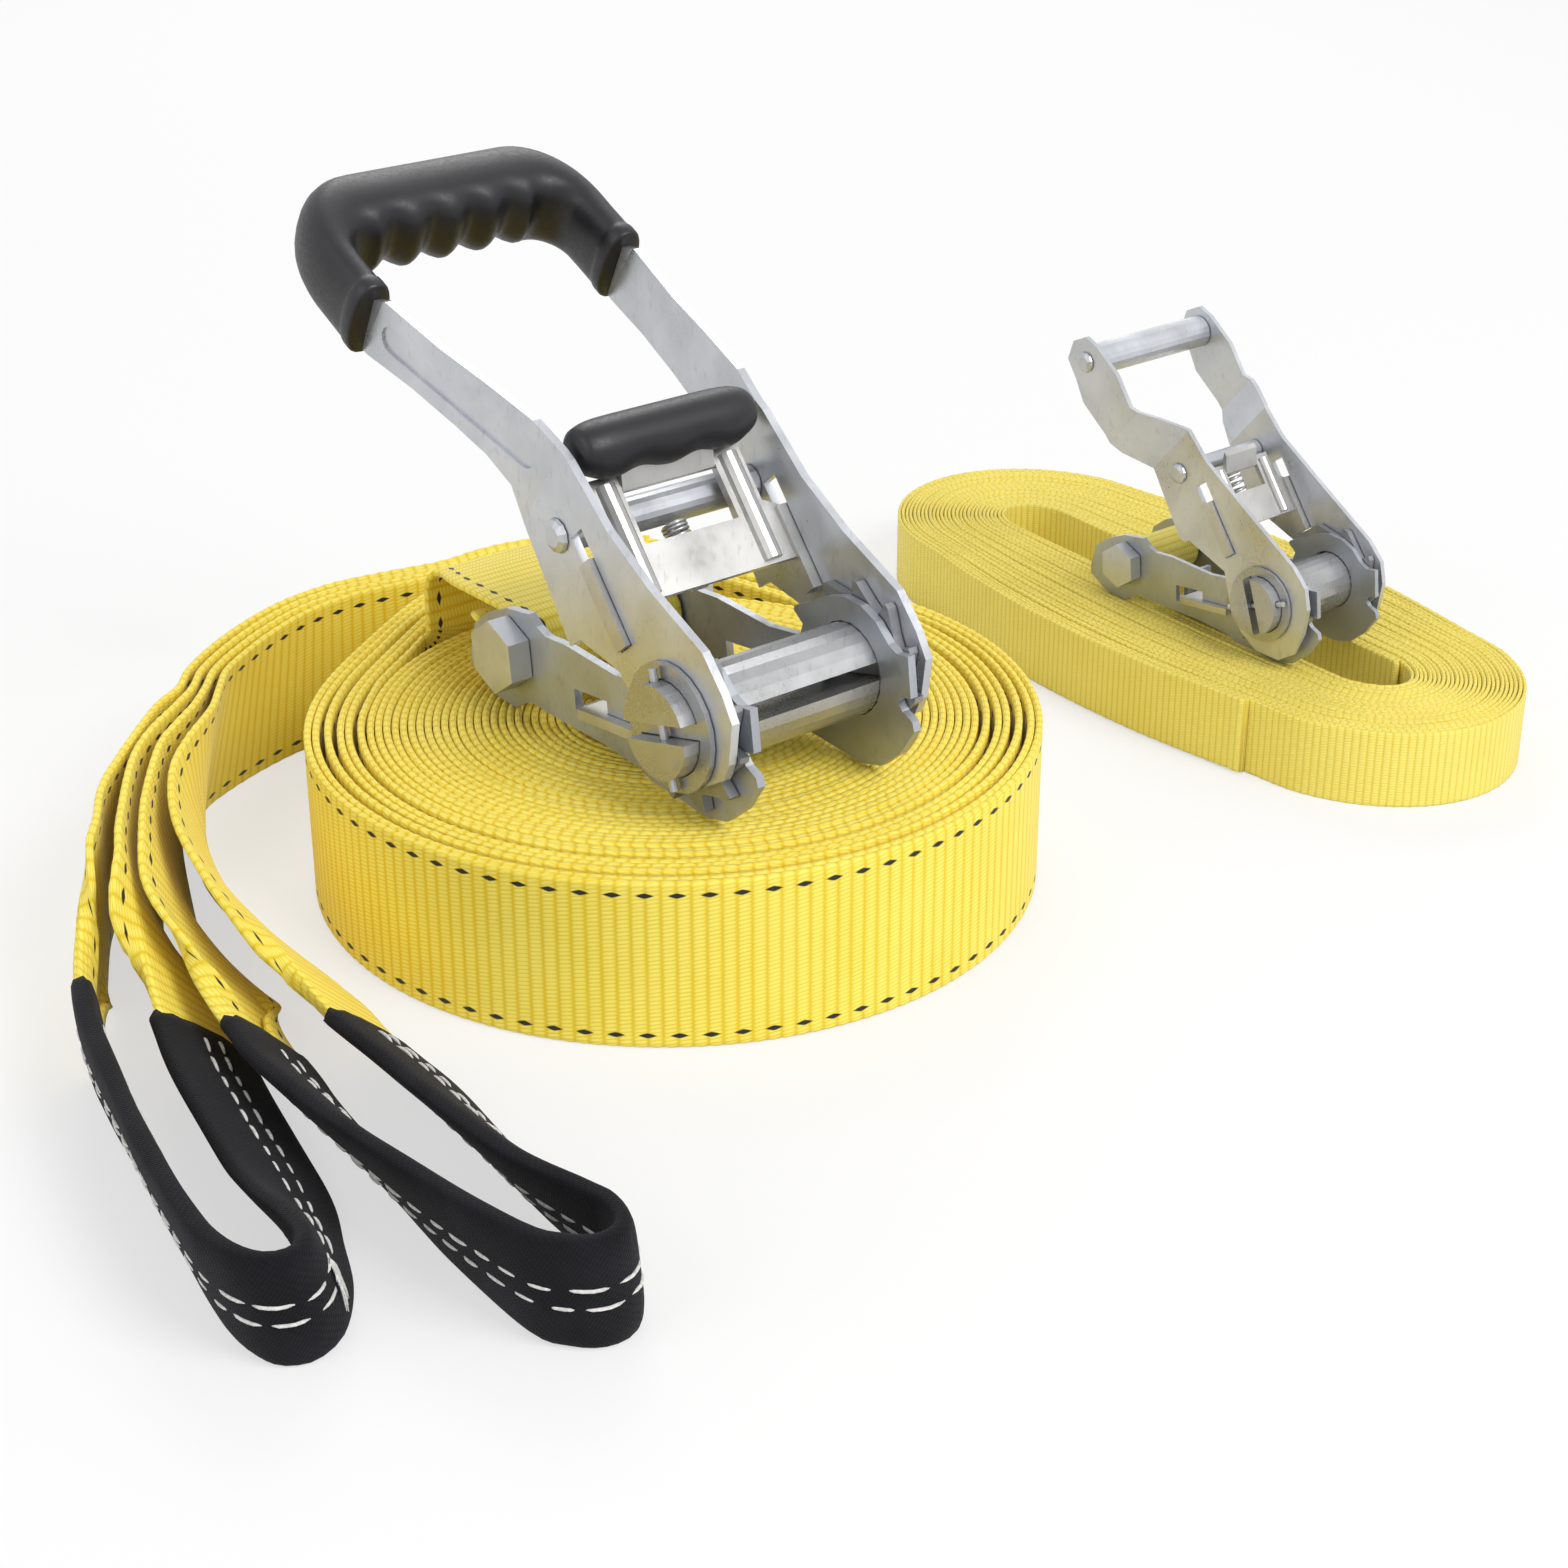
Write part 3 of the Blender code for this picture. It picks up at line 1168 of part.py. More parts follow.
def handle_pieces(kind, handle, name):
    """The lever's two arms, the tube and rivet between them, and its grip."""
    plate_in, plate_out, wheel_in, wheel_out, arm_in, arm_out, disc_in, disc_out = layers(kind)
    gap = Sizes.touch_gap
    slide = Sizes.sliding_gap
    long = kind.handle_length
    table = LONG_ARM_OUTLINE_SHARES if kind.rubber_grip else SHORT_ARM_OUTLINE_SHARES
    level, bottom, top, tip, web_start, ear_end = pawl_profile(kind)
    half = kind.ear_height / 2.0 + slide
    turn = math.radians(kind.pawl_tilt)
    slot = [(y * math.cos(turn) - z * math.sin(turn), y * math.sin(turn) + z * math.cos(turn))
            for y, z in box_loop(tip - slide, ear_end + kind.pawl_travel + slide, level - half, level + half)]
    rivet_hole = circle(kind.rivet_radius + gap, SMALL_ROUND_SEGMENTS, (kind.rivet_reach, 0.0))
    holes = [circle(kind.shaft_radius + gap, ROUND_SEGMENTS), slot, rivet_hole]
    grip_in = arm_in + kind.arm_splay
    grip_out = arm_out + kind.arm_splay
    if not kind.rubber_grip:
        holes.append(circle(kind.rivet_radius + gap, SMALL_ROUND_SEGMENTS, (long, 0.0)))
    for side, label in ((-1.0, "near"), (1.0, "far")):
        arm(kind, name + "_handle_arm_" + label, side, handle, table, holes)
    half_tube = arm_in - gap
    inner = kind.rivet_radius + gap
    at_rivet = (0.0, kind.rivet_reach, 0.0)
    tube = turned([(-half_tube, inner), (-half_tube, kind.spacer_radius), (half_tube, kind.spacer_radius),
                   (half_tube, inner)], TUBE_SEGMENTS)
    body(name + "_handle_spacer", moved(tube, at_rivet), ZINC, handle, smooth=True)
    body(name + "_handle_rivet", riveted(kind, arm_out, at_rivet), ZINC, handle, smooth=True)
    if kind.rubber_grip:
        rubber_grip(kind, handle, name, grip_in, grip_out, table)
        return
    half_tube = grip_in - gap
    at_grip = (0.0, long, 0.0)
    tube = turned([(-half_tube, inner), (-half_tube, kind.grip_bar_radius), (half_tube, kind.grip_bar_radius),
                   (half_tube, inner)], TUBE_SEGMENTS)
    body(name + "_grip_tube", moved(tube, at_grip), ZINC, handle, smooth=True)
    body(name + "_grip_rivet", riveted(kind, grip_out, at_grip), ZINC, handle, smooth=True)


def rubber_grip(kind, handle, name, grip_in, grip_out, table):
    """The U-shaped rubber grip over both arm ends, with a steel rod through its bar."""
    gap = Sizes.touch_gap
    long = kind.handle_length
    middle = (grip_in + grip_out) / 2.0
    start, bend, bar = (Vector((0.0, y * long, z * long)) for y, z in
                        (LEG_START_SHARES, LEG_MIDDLE_SHARES, GRIP_CENTRE_SHARES))
    corner = kind.grip_corner
    tall = kind.grip_radius
    thin = kind.grip_leg_radius
    stations = []
    for share in (0.0, 0.12, 0.55, 1.0):
        place = start.lerp(bend, share)
        shrink = GRIP_MOUTH_SHARE if share == 0.0 else 1.0
        stations.append((Vector((-middle, place.y, place.z)), thin * shrink, tall * shrink, 0.0))
    for step in range(1, 7):
        angle = math.pi / 2.0 * step / 7.0
        place = bend.lerp(bar, math.sin(angle))
        x = -middle + corner * (1.0 - math.cos(angle))
        grown = thin + (tall - thin) * step / 7.0
        stations.append((Vector((x, place.y, place.z)), grown, tall, 0.0))
    waves = kind.grip_waves
    run = middle - corner
    count = waves * 2
    for step in range(count + 1):
        share = step / count
        dip = kind.grip_wave * 0.5 * (1.0 - math.cos(2.0 * math.pi * waves * share / 2.0))
        stations.append((Vector((-run + run * share, bar.y, bar.z)), tall, tall, dip))
    mirrored = [(Vector((-p.x, p.y, p.z)), a, b, dip) for p, a, b, dip in stations[-2::-1]]
    stations += mirrored
    normal = (bar - start).cross(Vector((1.0, 0.0, 0.0))).normalized()
    if normal.z < 0.0:
        normal = -normal
    rings = []
    last = len(stations) - 1
    for i, (place, a, b, dip) in enumerate(stations):
        ahead = (stations[min(i + 1, last)][0] - stations[max(i - 1, 0)][0]).normalized()
        inward = normal.cross(ahead).normalized()
        ring = []
        for u, v in circle(1.0, SMALL_ROUND_SEGMENTS):
            soft_u = math.copysign(abs(u) ** 0.8, u)
            soft_v = math.copysign(abs(v) ** 0.8, v)
            low = max(0.0, (u * 0.7 - v * 0.7))
            ring.append(place + inward * soft_u * (a - dip * low) + normal * soft_v * (b - dip * low))
        rings.append(ring)
    grip = body(name + "_handle_grip", swept(rings), RUBBER, handle, smooth=True)
    tongue = [point for point in sized(table, long) if point[0] > start.y - kind.arm_splay]
    grown = grow_outline(tongue, gap)
    pockets = [prism([grown], side * (grip_in - gap), side * (grip_out + gap)) for side in (-1.0, 1.0)]
    bore = rod((-grip_in, bar.y, bar.z), (grip_in, bar.y, bar.z), kind.grip_bar_radius + gap)
    joined(grip, pockets + [bore], "DIFFERENCE")
    rod_end = grip_in - gap
    body(name + "_grip_rod", rod((-rod_end, bar.y, bar.z), (rod_end, bar.y, bar.z), kind.grip_bar_radius),
         DARK_ZINC, handle, smooth=True)


def grow_outline(loop, grow):
    """An outline moved outward by a clearance."""
    count = len(loop)
    centre = Vector((sum(y for y, z in loop) / count, sum(z for y, z in loop) / count))
    area = sum(loop[i][0] * loop[(i + 1) % count][1] - loop[(i + 1) % count][0] * loop[i][1]
               for i in range(count))
    sign = 1.0 if area > 0.0 else -1.0
    result = []
    for i in range(count):
        before, here, after = (Vector(loop[(i + k) % count]) for k in (-1, 0, 1))
        one = (here - before).normalized()
        two = (after - here).normalized()
        normal = Vector((one.y + two.y, -one.x - two.x)) * sign
        scale = max(0.5, normal.length_squared / 2.0)
        result.append(tuple(here + normal * (grow / scale)))
    return result


def ratchet(kind, parent):
    """Build one whole ratchet and return its spool's place."""
    place = (kind.place[0], kind.place[1], spool_height(kind))
    name = kind.name
    base = empty(name + "_ratchet", parent, place, turn=kind.bearing)
    frame = empty(name + "_frame", base, tilt=-kind.frame_droop)
    spool = empty(name + "_spool", base)
    handle = empty(name + "_handle", base, tilt=kind.handle_lift)
    frame_pieces(kind, frame, name)
    lock_pieces(kind, frame, name)
    spool_pieces(kind, spool, name)
    handle_pieces(kind, handle, name)
    drive_pieces(kind, handle, name)
    return place


def main():
    for old in list(bpy.data.objects):
        bpy.data.objects.remove(old)
    root = empty("slackline_set")
    main_place = ratchet(MainRatchet, root)
    small_place = ratchet(SmallRatchet, root)
    main_webbing(root, main_place)
    teaching_webbing(root, small_place)
    bpy.context.view_layer.update()
    corners = []
    for item in bpy.data.objects:
        if item.type == "MESH":
            corners += [item.matrix_world @ vert.co for vert in item.data.vertices]
    low = [min(corner[k] for corner in corners) for k in range(3)]
    high = [max(corner[k] for corner in corners) for k in range(3)]
    root.location = (-(low[0] + high[0]) / 2.0, -(low[1] + high[1]) / 2.0, -low[2])
    bpy.context.view_layer.update()
    print("moved to the middle by", [round(value, 6) for value in root.location])
    for item in bpy.data.objects:
        if item.type == "EMPTY":
            axes = item.matrix_world.to_3x3()
            print(item.name, [round(v, 6) for v in item.matrix_world.translation],
                  "X", [round(v, 6) for v in axes.col[0]], "Y", [round(v, 6) for v in axes.col[1]])


main()
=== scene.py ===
# %% [markdown] This lesson dresses a slackline set: a wide yellow webbing wound on edge into a round
# coil with two sewn eyes, a long-lever ratchet lying on it, and a narrow line wound into an oval with a
# small ratchet. Metal parts keep their solids and get a finish, while webbing, sleeves, rubber and
# springs are modelled again here in full.

# %% Load the frame
import math

import bpy
import numpy as np
from mathutils import Matrix, Vector
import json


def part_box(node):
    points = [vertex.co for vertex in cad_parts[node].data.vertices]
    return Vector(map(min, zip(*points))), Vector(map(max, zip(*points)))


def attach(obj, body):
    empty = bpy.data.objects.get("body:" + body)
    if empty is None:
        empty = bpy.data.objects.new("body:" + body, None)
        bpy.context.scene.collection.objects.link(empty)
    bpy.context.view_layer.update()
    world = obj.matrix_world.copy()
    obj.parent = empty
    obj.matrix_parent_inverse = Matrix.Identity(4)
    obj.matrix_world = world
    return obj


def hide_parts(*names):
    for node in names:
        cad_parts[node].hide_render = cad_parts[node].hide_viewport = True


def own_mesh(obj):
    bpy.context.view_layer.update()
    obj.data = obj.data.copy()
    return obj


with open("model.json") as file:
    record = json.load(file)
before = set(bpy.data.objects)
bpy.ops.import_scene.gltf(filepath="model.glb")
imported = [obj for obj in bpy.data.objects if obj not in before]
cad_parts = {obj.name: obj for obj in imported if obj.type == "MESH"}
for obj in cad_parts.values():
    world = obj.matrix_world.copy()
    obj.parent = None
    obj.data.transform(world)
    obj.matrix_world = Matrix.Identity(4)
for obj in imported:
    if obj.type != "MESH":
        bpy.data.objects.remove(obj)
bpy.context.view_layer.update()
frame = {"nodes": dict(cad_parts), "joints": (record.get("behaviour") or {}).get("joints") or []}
MM = 0.001

# %% [markdown]
# The wide line is one band, 50 mm by 2.2 mm, wound on edge. The solids say where its outer turns lie,
# so the same few sizes are written again here and give the distance of a turn from the coil's middle.
# The last two turns leave room for the ratchet's strap and bulge out at the back.

# %% Sizes of the wide line and its coil
LINE_WIDTH = 50.0 * MM
LINE_THICKNESS = 2.2 * MM
COIL_RADIUS = 108.5 * MM
CORE_RADIUS = 3.2 * MM
SOLID_LOOPS = 16
LOOSE_TURNS = 2
SOLID_THICKNESS = 5.2 * MM
STRAP_ROOM = 3.3 * MM
ROOM_TURNS = 0.2
COIL_PITCH = (COIL_RADIUS - SOLID_THICKNESS / 2.0 - CORE_RADIUS - LOOSE_TURNS * STRAP_ROOM) / SOLID_LOOPS
END_BEARING = 50.0
BULGE = 28.5 * MM
BULGE_BEARINGS = (40.0, 178.0)
BULGE_POWER = 4
SMALL_TURN = 0.001


def rise(value, start, end):
    """A soft step from 0 to 1."""
    share = min(1.0, max(0.0, (value - start) / (end - start)))
    return share * share * (3.0 - 2.0 * share)


def coil_radius_at(turn):
    """Distance from the coil's middle after a number of the solid's turns."""
    loose = turn - (SOLID_LOOPS - LOOSE_TURNS)
    eased = rise(loose, 0.0, ROOM_TURNS) + rise(loose, 1.0, 1.0 + ROOM_TURNS)
    bearing = (END_BEARING + 360.0 * turn) % 360.0
    first, last = BULGE_BEARINGS
    swell = 0.0
    if loose >= -SMALL_TURN and first < bearing < last:
        swell = BULGE * math.sin(math.pi * (bearing - first) / (last - first)) ** BULGE_POWER
    return CORE_RADIUS + COIL_PITCH * turn + STRAP_ROOM * eased + swell


print("turns of the solid lie", round(COIL_PITCH / MM, 2), "mm apart")

# %% [markdown]
# Every place on the coil is said as a distance and a bearing from its middle. The frame gives that
# middle: the box of the coil's solid, less the box of the same turns drawn round zero.

# %% The coil's middle
MIDDLE_STEPS = 360


def polar(radius, degrees, height=0.0):
    """A place at a distance and bearing from the coil's middle."""
    angle = math.radians(degrees)
    return Vector((radius * math.cos(angle), radius * math.sin(angle), height))


def coil_place(turn, shift=0.0):
    """A point at half the webbing's height on the solid coil, with a shift outward."""
    return polar(coil_radius_at(turn) + shift, END_BEARING + 360.0 * turn, LINE_WIDTH / 2.0)


outer_turns = [coil_place(SOLID_LOOPS - LOOSE_TURNS + i / MIDDLE_STEPS, SOLID_THICKNESS / 2.0)
               for i in range(LOOSE_TURNS * MIDDLE_STEPS + 1)]
coil_low, coil_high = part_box("main_line_coil")
COIL_MIDDLE = Vector([(coil_low[k] + coil_high[k] - min(p[k] for p in outer_turns)
                       - max(p[k] for p in outer_turns)) / 2.0 for k in range(2)] + [0.0])
print("coil's middle is at", tuple(round(v / MM, 2) for v in COIL_MIDDLE), "mm")

# %% [markdown]
# The photograph looks down on the set at 26 degrees through a longish lens, so the camera is placed from
# the coil's middle with that tilt. A camera made first lets each later piece be judged in its own view.

# %% Camera
CAMERA_PLACE = Vector((32.9, -740.4, 391.9)) * MM
CAMERA_LENS = 65.0
CAMERA_SENSOR = 36.0
CAMERA_FALL = 26.34

camera_data = bpy.data.cameras.new("lesson_camera")
camera_data.lens = CAMERA_LENS
camera_data.sensor_width = CAMERA_SENSOR
camera = bpy.data.objects.new("lesson_camera", camera_data)
camera.location = COIL_MIDDLE + CAMERA_PLACE
camera.rotation_euler = (math.radians(90.0 - CAMERA_FALL), 0.0, 0.0)
bpy.context.scene.collection.objects.link(camera)
bpy.context.scene.camera = camera
print("camera stands at", tuple(round(v, 4) for v in camera.location))

# %% [markdown]
# Materials are built from nodes. Wiring each by hand hides the idea, so a small helper writes sums the
# way they are said: it makes a Math node for each step and hands back its output.

# %% A helper that writes node sums
MIX_FIRST_COLOUR, MIX_SECOND_COLOUR, MIX_RESULT_COLOUR = 6, 7, 2


class Recipe:
    """A material under construction, with short words for the nodes it uses."""

    def __init__(self, name, metal=0.0, rough=0.5, specular=0.5):
        self.material = bpy.data.materials.new(name)
        self.material.use_nodes = True
        self.nodes = self.material.node_tree.nodes
        self.links = self.material.node_tree.links
        self.shader = self.nodes["Principled BSDF"]
        self.shader.inputs["Metallic"].default_value = metal
        self.shader.inputs["Roughness"].default_value = rough
        self.shader.inputs["Specular IOR Level"].default_value = specular

    def feed(self, socket, value):
        """Link an output, or set a plain value."""
        if isinstance(value, bpy.types.NodeSocket):
            self.links.new(value, socket)
        else:
            socket.default_value = value

    def sum(self, operation, first, second=0.0, third=0.0):
        """One step of arithmetic."""
        node = self.nodes.new("ShaderNodeMath")
        node.operation = operation
        for socket, value in zip(node.inputs, (first, second, third)):
            self.feed(socket, value)
        return node.outputs[0]

    def woven_place(self):
        """How far along and across the webbing a spot lies, in metres."""
        layer = self.nodes.new("ShaderNodeUVMap")
        layer.uv_map = "Weave"
        split = self.nodes.new("ShaderNodeSeparateXYZ")
        self.links.new(layer.outputs["UV"], split.inputs[0])
        return split.outputs["X"], split.outputs["Y"]

    def solid_place(self):
        """Object coordinates, which are metres on every piece here."""
        return self.nodes.new("ShaderNodeTexCoord").outputs["Object"]

    def stretched(self, place, scale):
        """Coordinates multiplied by three numbers."""
        node = self.nodes.new("ShaderNodeMapping")
        self.links.new(place, node.inputs["Vector"])
        node.inputs["Scale"].default_value = scale
        return node.outputs[0]

    def noise(self, scale, detail=2.0, place=None):
        """Cloudy variation between 0 and 1."""
        node = self.nodes.new("ShaderNodeTexNoise")
        node.inputs["Scale"].default_value = scale
        node.inputs["Detail"].default_value = detail
        self.links.new(place or self.solid_place(), node.inputs["Vector"])
        return node.outputs["Fac"]

    def between(self, value, low, high, new_low=0.0, new_high=1.0):
        """Map a range to another one, held at its ends."""
        node = self.nodes.new("ShaderNodeMapRange")
        limits = {"From Min": low, "From Max": high, "To Min": new_low, "To Max": new_high}
        for name, number in limits.items():
            node.inputs[name].default_value = number
        self.feed(node.inputs["Value"], value)
        return node.outputs["Result"]

    def blend(self, share, first, second):
        """Mix two colours."""
        node = self.nodes.new("ShaderNodeMix")
        node.data_type = "RGBA"
        self.feed(node.inputs["Factor"], share)
        self.feed(node.inputs[MIX_FIRST_COLOUR], first)
        self.feed(node.inputs[MIX_SECOND_COLOUR], second)
        return node.outputs[MIX_RESULT_COLOUR]

    def colour(self, value):
        """Set the base colour."""
        self.feed(self.shader.inputs["Base Color"], value)

    def rough(self, value):
        """Set the roughness."""
        self.feed(self.shader.inputs["Roughness"], value)

    def sheen(self, weight, rough=0.5):
        """Set the pale edge glow of cloth."""
        self.shader.inputs["Sheen Weight"].default_value = weight
        self.shader.inputs["Sheen Roughness"].default_value = rough

    def relief(self, height, depth, strength=1.0):
        """Bump of a depth in metres."""
        node = self.nodes.new("ShaderNodeBump")
        node.inputs["Strength"].default_value = strength
        node.inputs["Distance"].default_value = depth
        self.feed(node.inputs["Height"], height)
        self.links.new(node.outputs[0], self.shader.inputs["Normal"])


print("a recipe has", len([word for word in vars(Recipe) if not word.startswith("_")]), "words")

# %% [markdown]
# Webbing is woven so that short floats stand in columns across it, and each column is shifted by half a
# float against the next. An image of cloth would blur up close and can't follow a coil, so the floats
# are a sum of two ridges. It follows two coordinates, along and across the band, which the band's mesh
# carries in metres, so the weave keeps its scale in every turn.

# %% The weave as columns of floats
FLOAT_SLANT = 0.16
FLOAT_CREST = 0.72
ROW_POWER = 2.0
WEAR_DETAIL = 3.0
WEAR_CLOUD = (0.35, 0.70)


def ridge(recipe, place, pitch, power):
    """A rounded ridge over each stretch of a pitch: 0 in the valleys, 1 on the crest."""
    share = recipe.sum("FRACT", recipe.sum("DIVIDE", place, pitch))
    from_crest = recipe.sum("ABSOLUTE", recipe.sum("MULTIPLY_ADD", share, 2.0, -1.0))
    return recipe.sum("SUBTRACT", 1.0, recipe.sum("POWER", from_crest, power))


def floats(recipe, along, across, column, run, power):
    """The height of the floats: columns along the band, half a float out of step with each other."""
    number = recipe.sum("FLOOR", recipe.sum("DIVIDE", along, column))
    half_step = recipe.sum("MULTIPLY", recipe.sum("MODULO", number, 2.0), run / 2.0)
    columns = ridge(recipe, along, column, power)
    slanted = recipe.sum("MULTIPLY_ADD", along, FLOAT_SLANT, across)
    rows = ridge(recipe, recipe.sum("ADD", slanted, half_step), run, ROW_POWER)
    return recipe.sum("MULTIPLY", columns, recipe.sum("MULTIPLY_ADD", rows, FLOAT_CREST, 1.0 - FLOAT_CREST))


def worn_and_shaded_yellow(recipe, height, crest, cloud, wear, deep, top):
    """Painted shade between the floats, a painted highlight on their crests, and cloudy wear over both."""
    worn = recipe.between(recipe.noise(cloud, WEAR_DETAIL), *WEAR_CLOUD, *wear)
    # The float height picks the colour: deep yellow is painted shade in the valleys, top yellow a painted
    # highlight on the crests; the noise cloud is real wear.
    return recipe.blend(recipe.sum("ADD", recipe.between(height, *crest), worn), deep, top)


print("floats lean", round(math.degrees(math.atan(FLOAT_SLANT)), 1), "degrees")

# %% [markdown]
# The wide webbing has a column every 3.9 mm. A black tracer thread shows as a row of dashes near each
# edge, each a small diamond because the thread dives under the yellow at both ends. The distance from a
# dash's middle, counted along and across at once, gives that outline without any drawing.

# %% Wide webbing with tracer dashes
COLUMN_PITCH = 3.9 * MM
FLOAT_PITCH = 1.2 * MM
COLUMN_POWER = 3.2
# The top yellow is a painted highlight on the floats' crests, the deep yellow painted shade between them.
YELLOW_LIT_CREST = (0.960, 0.820, 0.150, 1.0)
YELLOW_SHADED_VALLEY = (0.800, 0.580, 0.022, 1.0)
TRACER_BLACK = (0.018, 0.017, 0.016, 1.0)
WEBBING_ROUGH = 0.68
WEBBING_SPECULAR = 0.32
WEBBING_SHEEN = (0.15, 0.4)
DASH_PITCH = 8.3 * MM
DASH_LENGTH = 5.0 * MM
DASH_HALF_THICKNESS = 0.85 * MM
DASH_FROM_MIDDLE = 20.8 * MM
DASH_POWER = 1.2
DASH_EDGE = (0.75, 1.10)


def tracer_dashes(recipe, along, across):
    """1 on a dash of the tracer thread, 0 beside it."""
    off_row = recipe.sum("DIVIDE", recipe.sum("SUBTRACT", recipe.sum("ABSOLUTE", across), DASH_FROM_MIDDLE),
                         DASH_HALF_THICKNESS)
    share = recipe.sum("FRACT", recipe.sum("DIVIDE", along, DASH_PITCH))
    off_dash = recipe.sum("MULTIPLY", recipe.sum("SUBTRACT", share, 0.5), 2.0 * DASH_PITCH / DASH_LENGTH)
    distance = recipe.sum("ADD", recipe.sum("POWER", recipe.sum("ABSOLUTE", off_row), DASH_POWER),
                          recipe.sum("POWER", recipe.sum("ABSOLUTE", off_dash), DASH_POWER))
    return recipe.between(distance, *DASH_EDGE, 1.0, 0.0)


def wide_webbing():
    """Yellow webbing with tracer dashes."""
    recipe = Recipe("wide_webbing", rough=WEBBING_ROUGH, specular=WEBBING_SPECULAR)
    along, across = recipe.woven_place()
    height = floats(recipe, along, across, COLUMN_PITCH, FLOAT_PITCH, COLUMN_POWER)
    yellow = worn_and_shaded_yellow(recipe, height, (0.15, 0.90), 38.0, (-0.10, 0.12), YELLOW_SHADED_VALLEY, YELLOW_LIT_CREST)
    recipe.colour(recipe.blend(tracer_dashes(recipe, along, across), yellow, TRACER_BLACK))
    recipe.relief(height, 0.16 * MM, 0.55)
    recipe.sheen(*WEBBING_SHEEN)
    return recipe.material


WIDE_WEBBING = wide_webbing()
print("made", WIDE_WEBBING.name, "with", len(WIDE_WEBBING.node_tree.nodes), "nodes")

# %% [markdown]
# The narrow line is the same weave with finer columns, a paler yellow and no tracer. One recipe with
# switches would be harder to read than a second short one that calls the same helpers.

# %% Narrow webbing
NARROW_COLUMN_PITCH = 2.4 * MM
NARROW_FLOAT_PITCH = 0.9 * MM
NARROW_COLUMN_POWER = 2.2
# As on the wide webbing, the top yellow is a painted highlight on the crests and the deep yellow painted
# shade between the floats.
PALE_LIT_CREST = (0.930, 0.800, 0.180, 1.0)
PALE_SHADED_VALLEY = (0.760, 0.580, 0.050, 1.0)


def narrow_webbing():
    """The thinner yellow webbing with finer floats and no tracer."""
    recipe = Recipe("narrow_webbing", rough=WEBBING_ROUGH, specular=WEBBING_SPECULAR)
    along, across = recipe.woven_place()
    height = floats(recipe, along, across, NARROW_COLUMN_PITCH, NARROW_FLOAT_PITCH, NARROW_COLUMN_POWER)
    recipe.colour(worn_and_shaded_yellow(recipe, height, (0.0, 0.55), 55.0, (-0.08, 0.10), PALE_SHADED_VALLEY, PALE_LIT_CREST))
    recipe.relief(height, 0.22 * MM, 0.9)
    recipe.sheen(*WEBBING_SHEEN)
    return recipe.material


NARROW_WEBBING = narrow_webbing()
print("made", NARROW_WEBBING.name, "with", len(NARROW_WEBBING.node_tree.nodes), "nodes")

# %% [markdown]
# The sleeves are black twill, which has fine slanted ribs with a painted highlight on their crests,
# and turns a little grey where it is rubbed.
# The floats' sum makes the ribs too, once its along coordinate slides with the across one. The seams are
# white thread, whose twist is only a fine noise at this size, with painted shade in its hollows.

# %% Sleeve cloth and thread
SLEEVE_BLACK = (0.0035, 0.0035, 0.0050, 1.0)
SLEEVE_RUBBED_AND_LIT = (0.0170, 0.0170, 0.0215, 1.0)
TWILL_SLIDE = 0.5
TWILL_COLUMN = 0.8 * MM
TWILL_RUN = 1.3 * MM
TWILL_POWER = 2.0
THREAD_WHITE = (0.80, 0.79, 0.76, 1.0)
THREAD_HOLLOW_SHADE = 0.72


def sleeve_cloth():
    """Black twill with fine slanted ribs, painted paler on their crests as a highlight, a little grey where
    it is rubbed.
    """
    recipe = Recipe("sleeve_cloth", rough=0.88, specular=0.16)
    along, across = recipe.woven_place()
    slid = recipe.sum("MULTIPLY_ADD", across, TWILL_SLIDE, along)
    height = floats(recipe, slid, across, TWILL_COLUMN, TWILL_RUN, TWILL_POWER)
    rubbed = recipe.between(recipe.noise(60.0, 4.0), 0.45, 0.75, 0.0, 0.6)
    # The ribs' height pales their crests, a painted highlight; the rubbed cloud is real wear.
    shade = recipe.sum("MULTIPLY", recipe.sum("ADD", recipe.sum("MULTIPLY", height, 0.5), rubbed), 0.8)
    recipe.colour(recipe.blend(shade, SLEEVE_BLACK, SLEEVE_RUBBED_AND_LIT))
    recipe.relief(height, 0.16 * MM, 0.8)
    recipe.sheen(0.04)
    return recipe.material


def white_thread():
    """Twisted sewing thread, with painted shade in the hollows of its twist."""
    recipe = Recipe("white_thread", rough=0.7, specular=0.3)
    twist = recipe.noise(900.0, 1.0)
    # The hollow colour is painted shade where the twist's bump is low.
    hollow_shade = tuple(THREAD_HOLLOW_SHADE * c for c in THREAD_WHITE[:3]) + (1.0,)
    recipe.colour(recipe.blend(recipe.between(twist, 0.3, 0.7), hollow_shade, THREAD_WHITE))
    recipe.relief(twist, 0.1 * MM, 0.5)
    return recipe.material


SLEEVE_CLOTH = sleeve_cloth()
WHITE_THREAD = white_thread()
print("made", SLEEVE_CLOTH.name, "and", WHITE_THREAD.name)

# %% [markdown]
# A band of webbing can be a curve with a flat bevel, but then nothing can narrow, fold or carry a weave
# coordinate. Here a closed section is carried along a route instead. Where the share of folding is 1,
# both edges are turned over so that 50 mm of webbing passes through a 28.5 mm sleeve, as a sewn eye does.

# %% The section of a band
EDGE_ROUND = 0.7 * MM
EDGE_INNER = 0.9 * MM
EYE_WIDTH = 28.5 * MM
CREASE_STATIONS = (-3.2 * MM, -1.2 * MM, 0.0, 1.2 * MM, 3.5 * MM)
FOLD_QUICKNESS = 3.0
CURL_SHARE = 0.26


def section_stations(half_width, folded):
    """Distances across the band at which the section has points."""
    rim = half_width - EDGE_ROUND
    right = [rim - EDGE_INNER, rim, half_width]
    if folded:
        right = [EYE_WIDTH / 2.0 + past for past in CREASE_STATIONS] + right
    return np.array([-s for s in right[::-1]] + right)


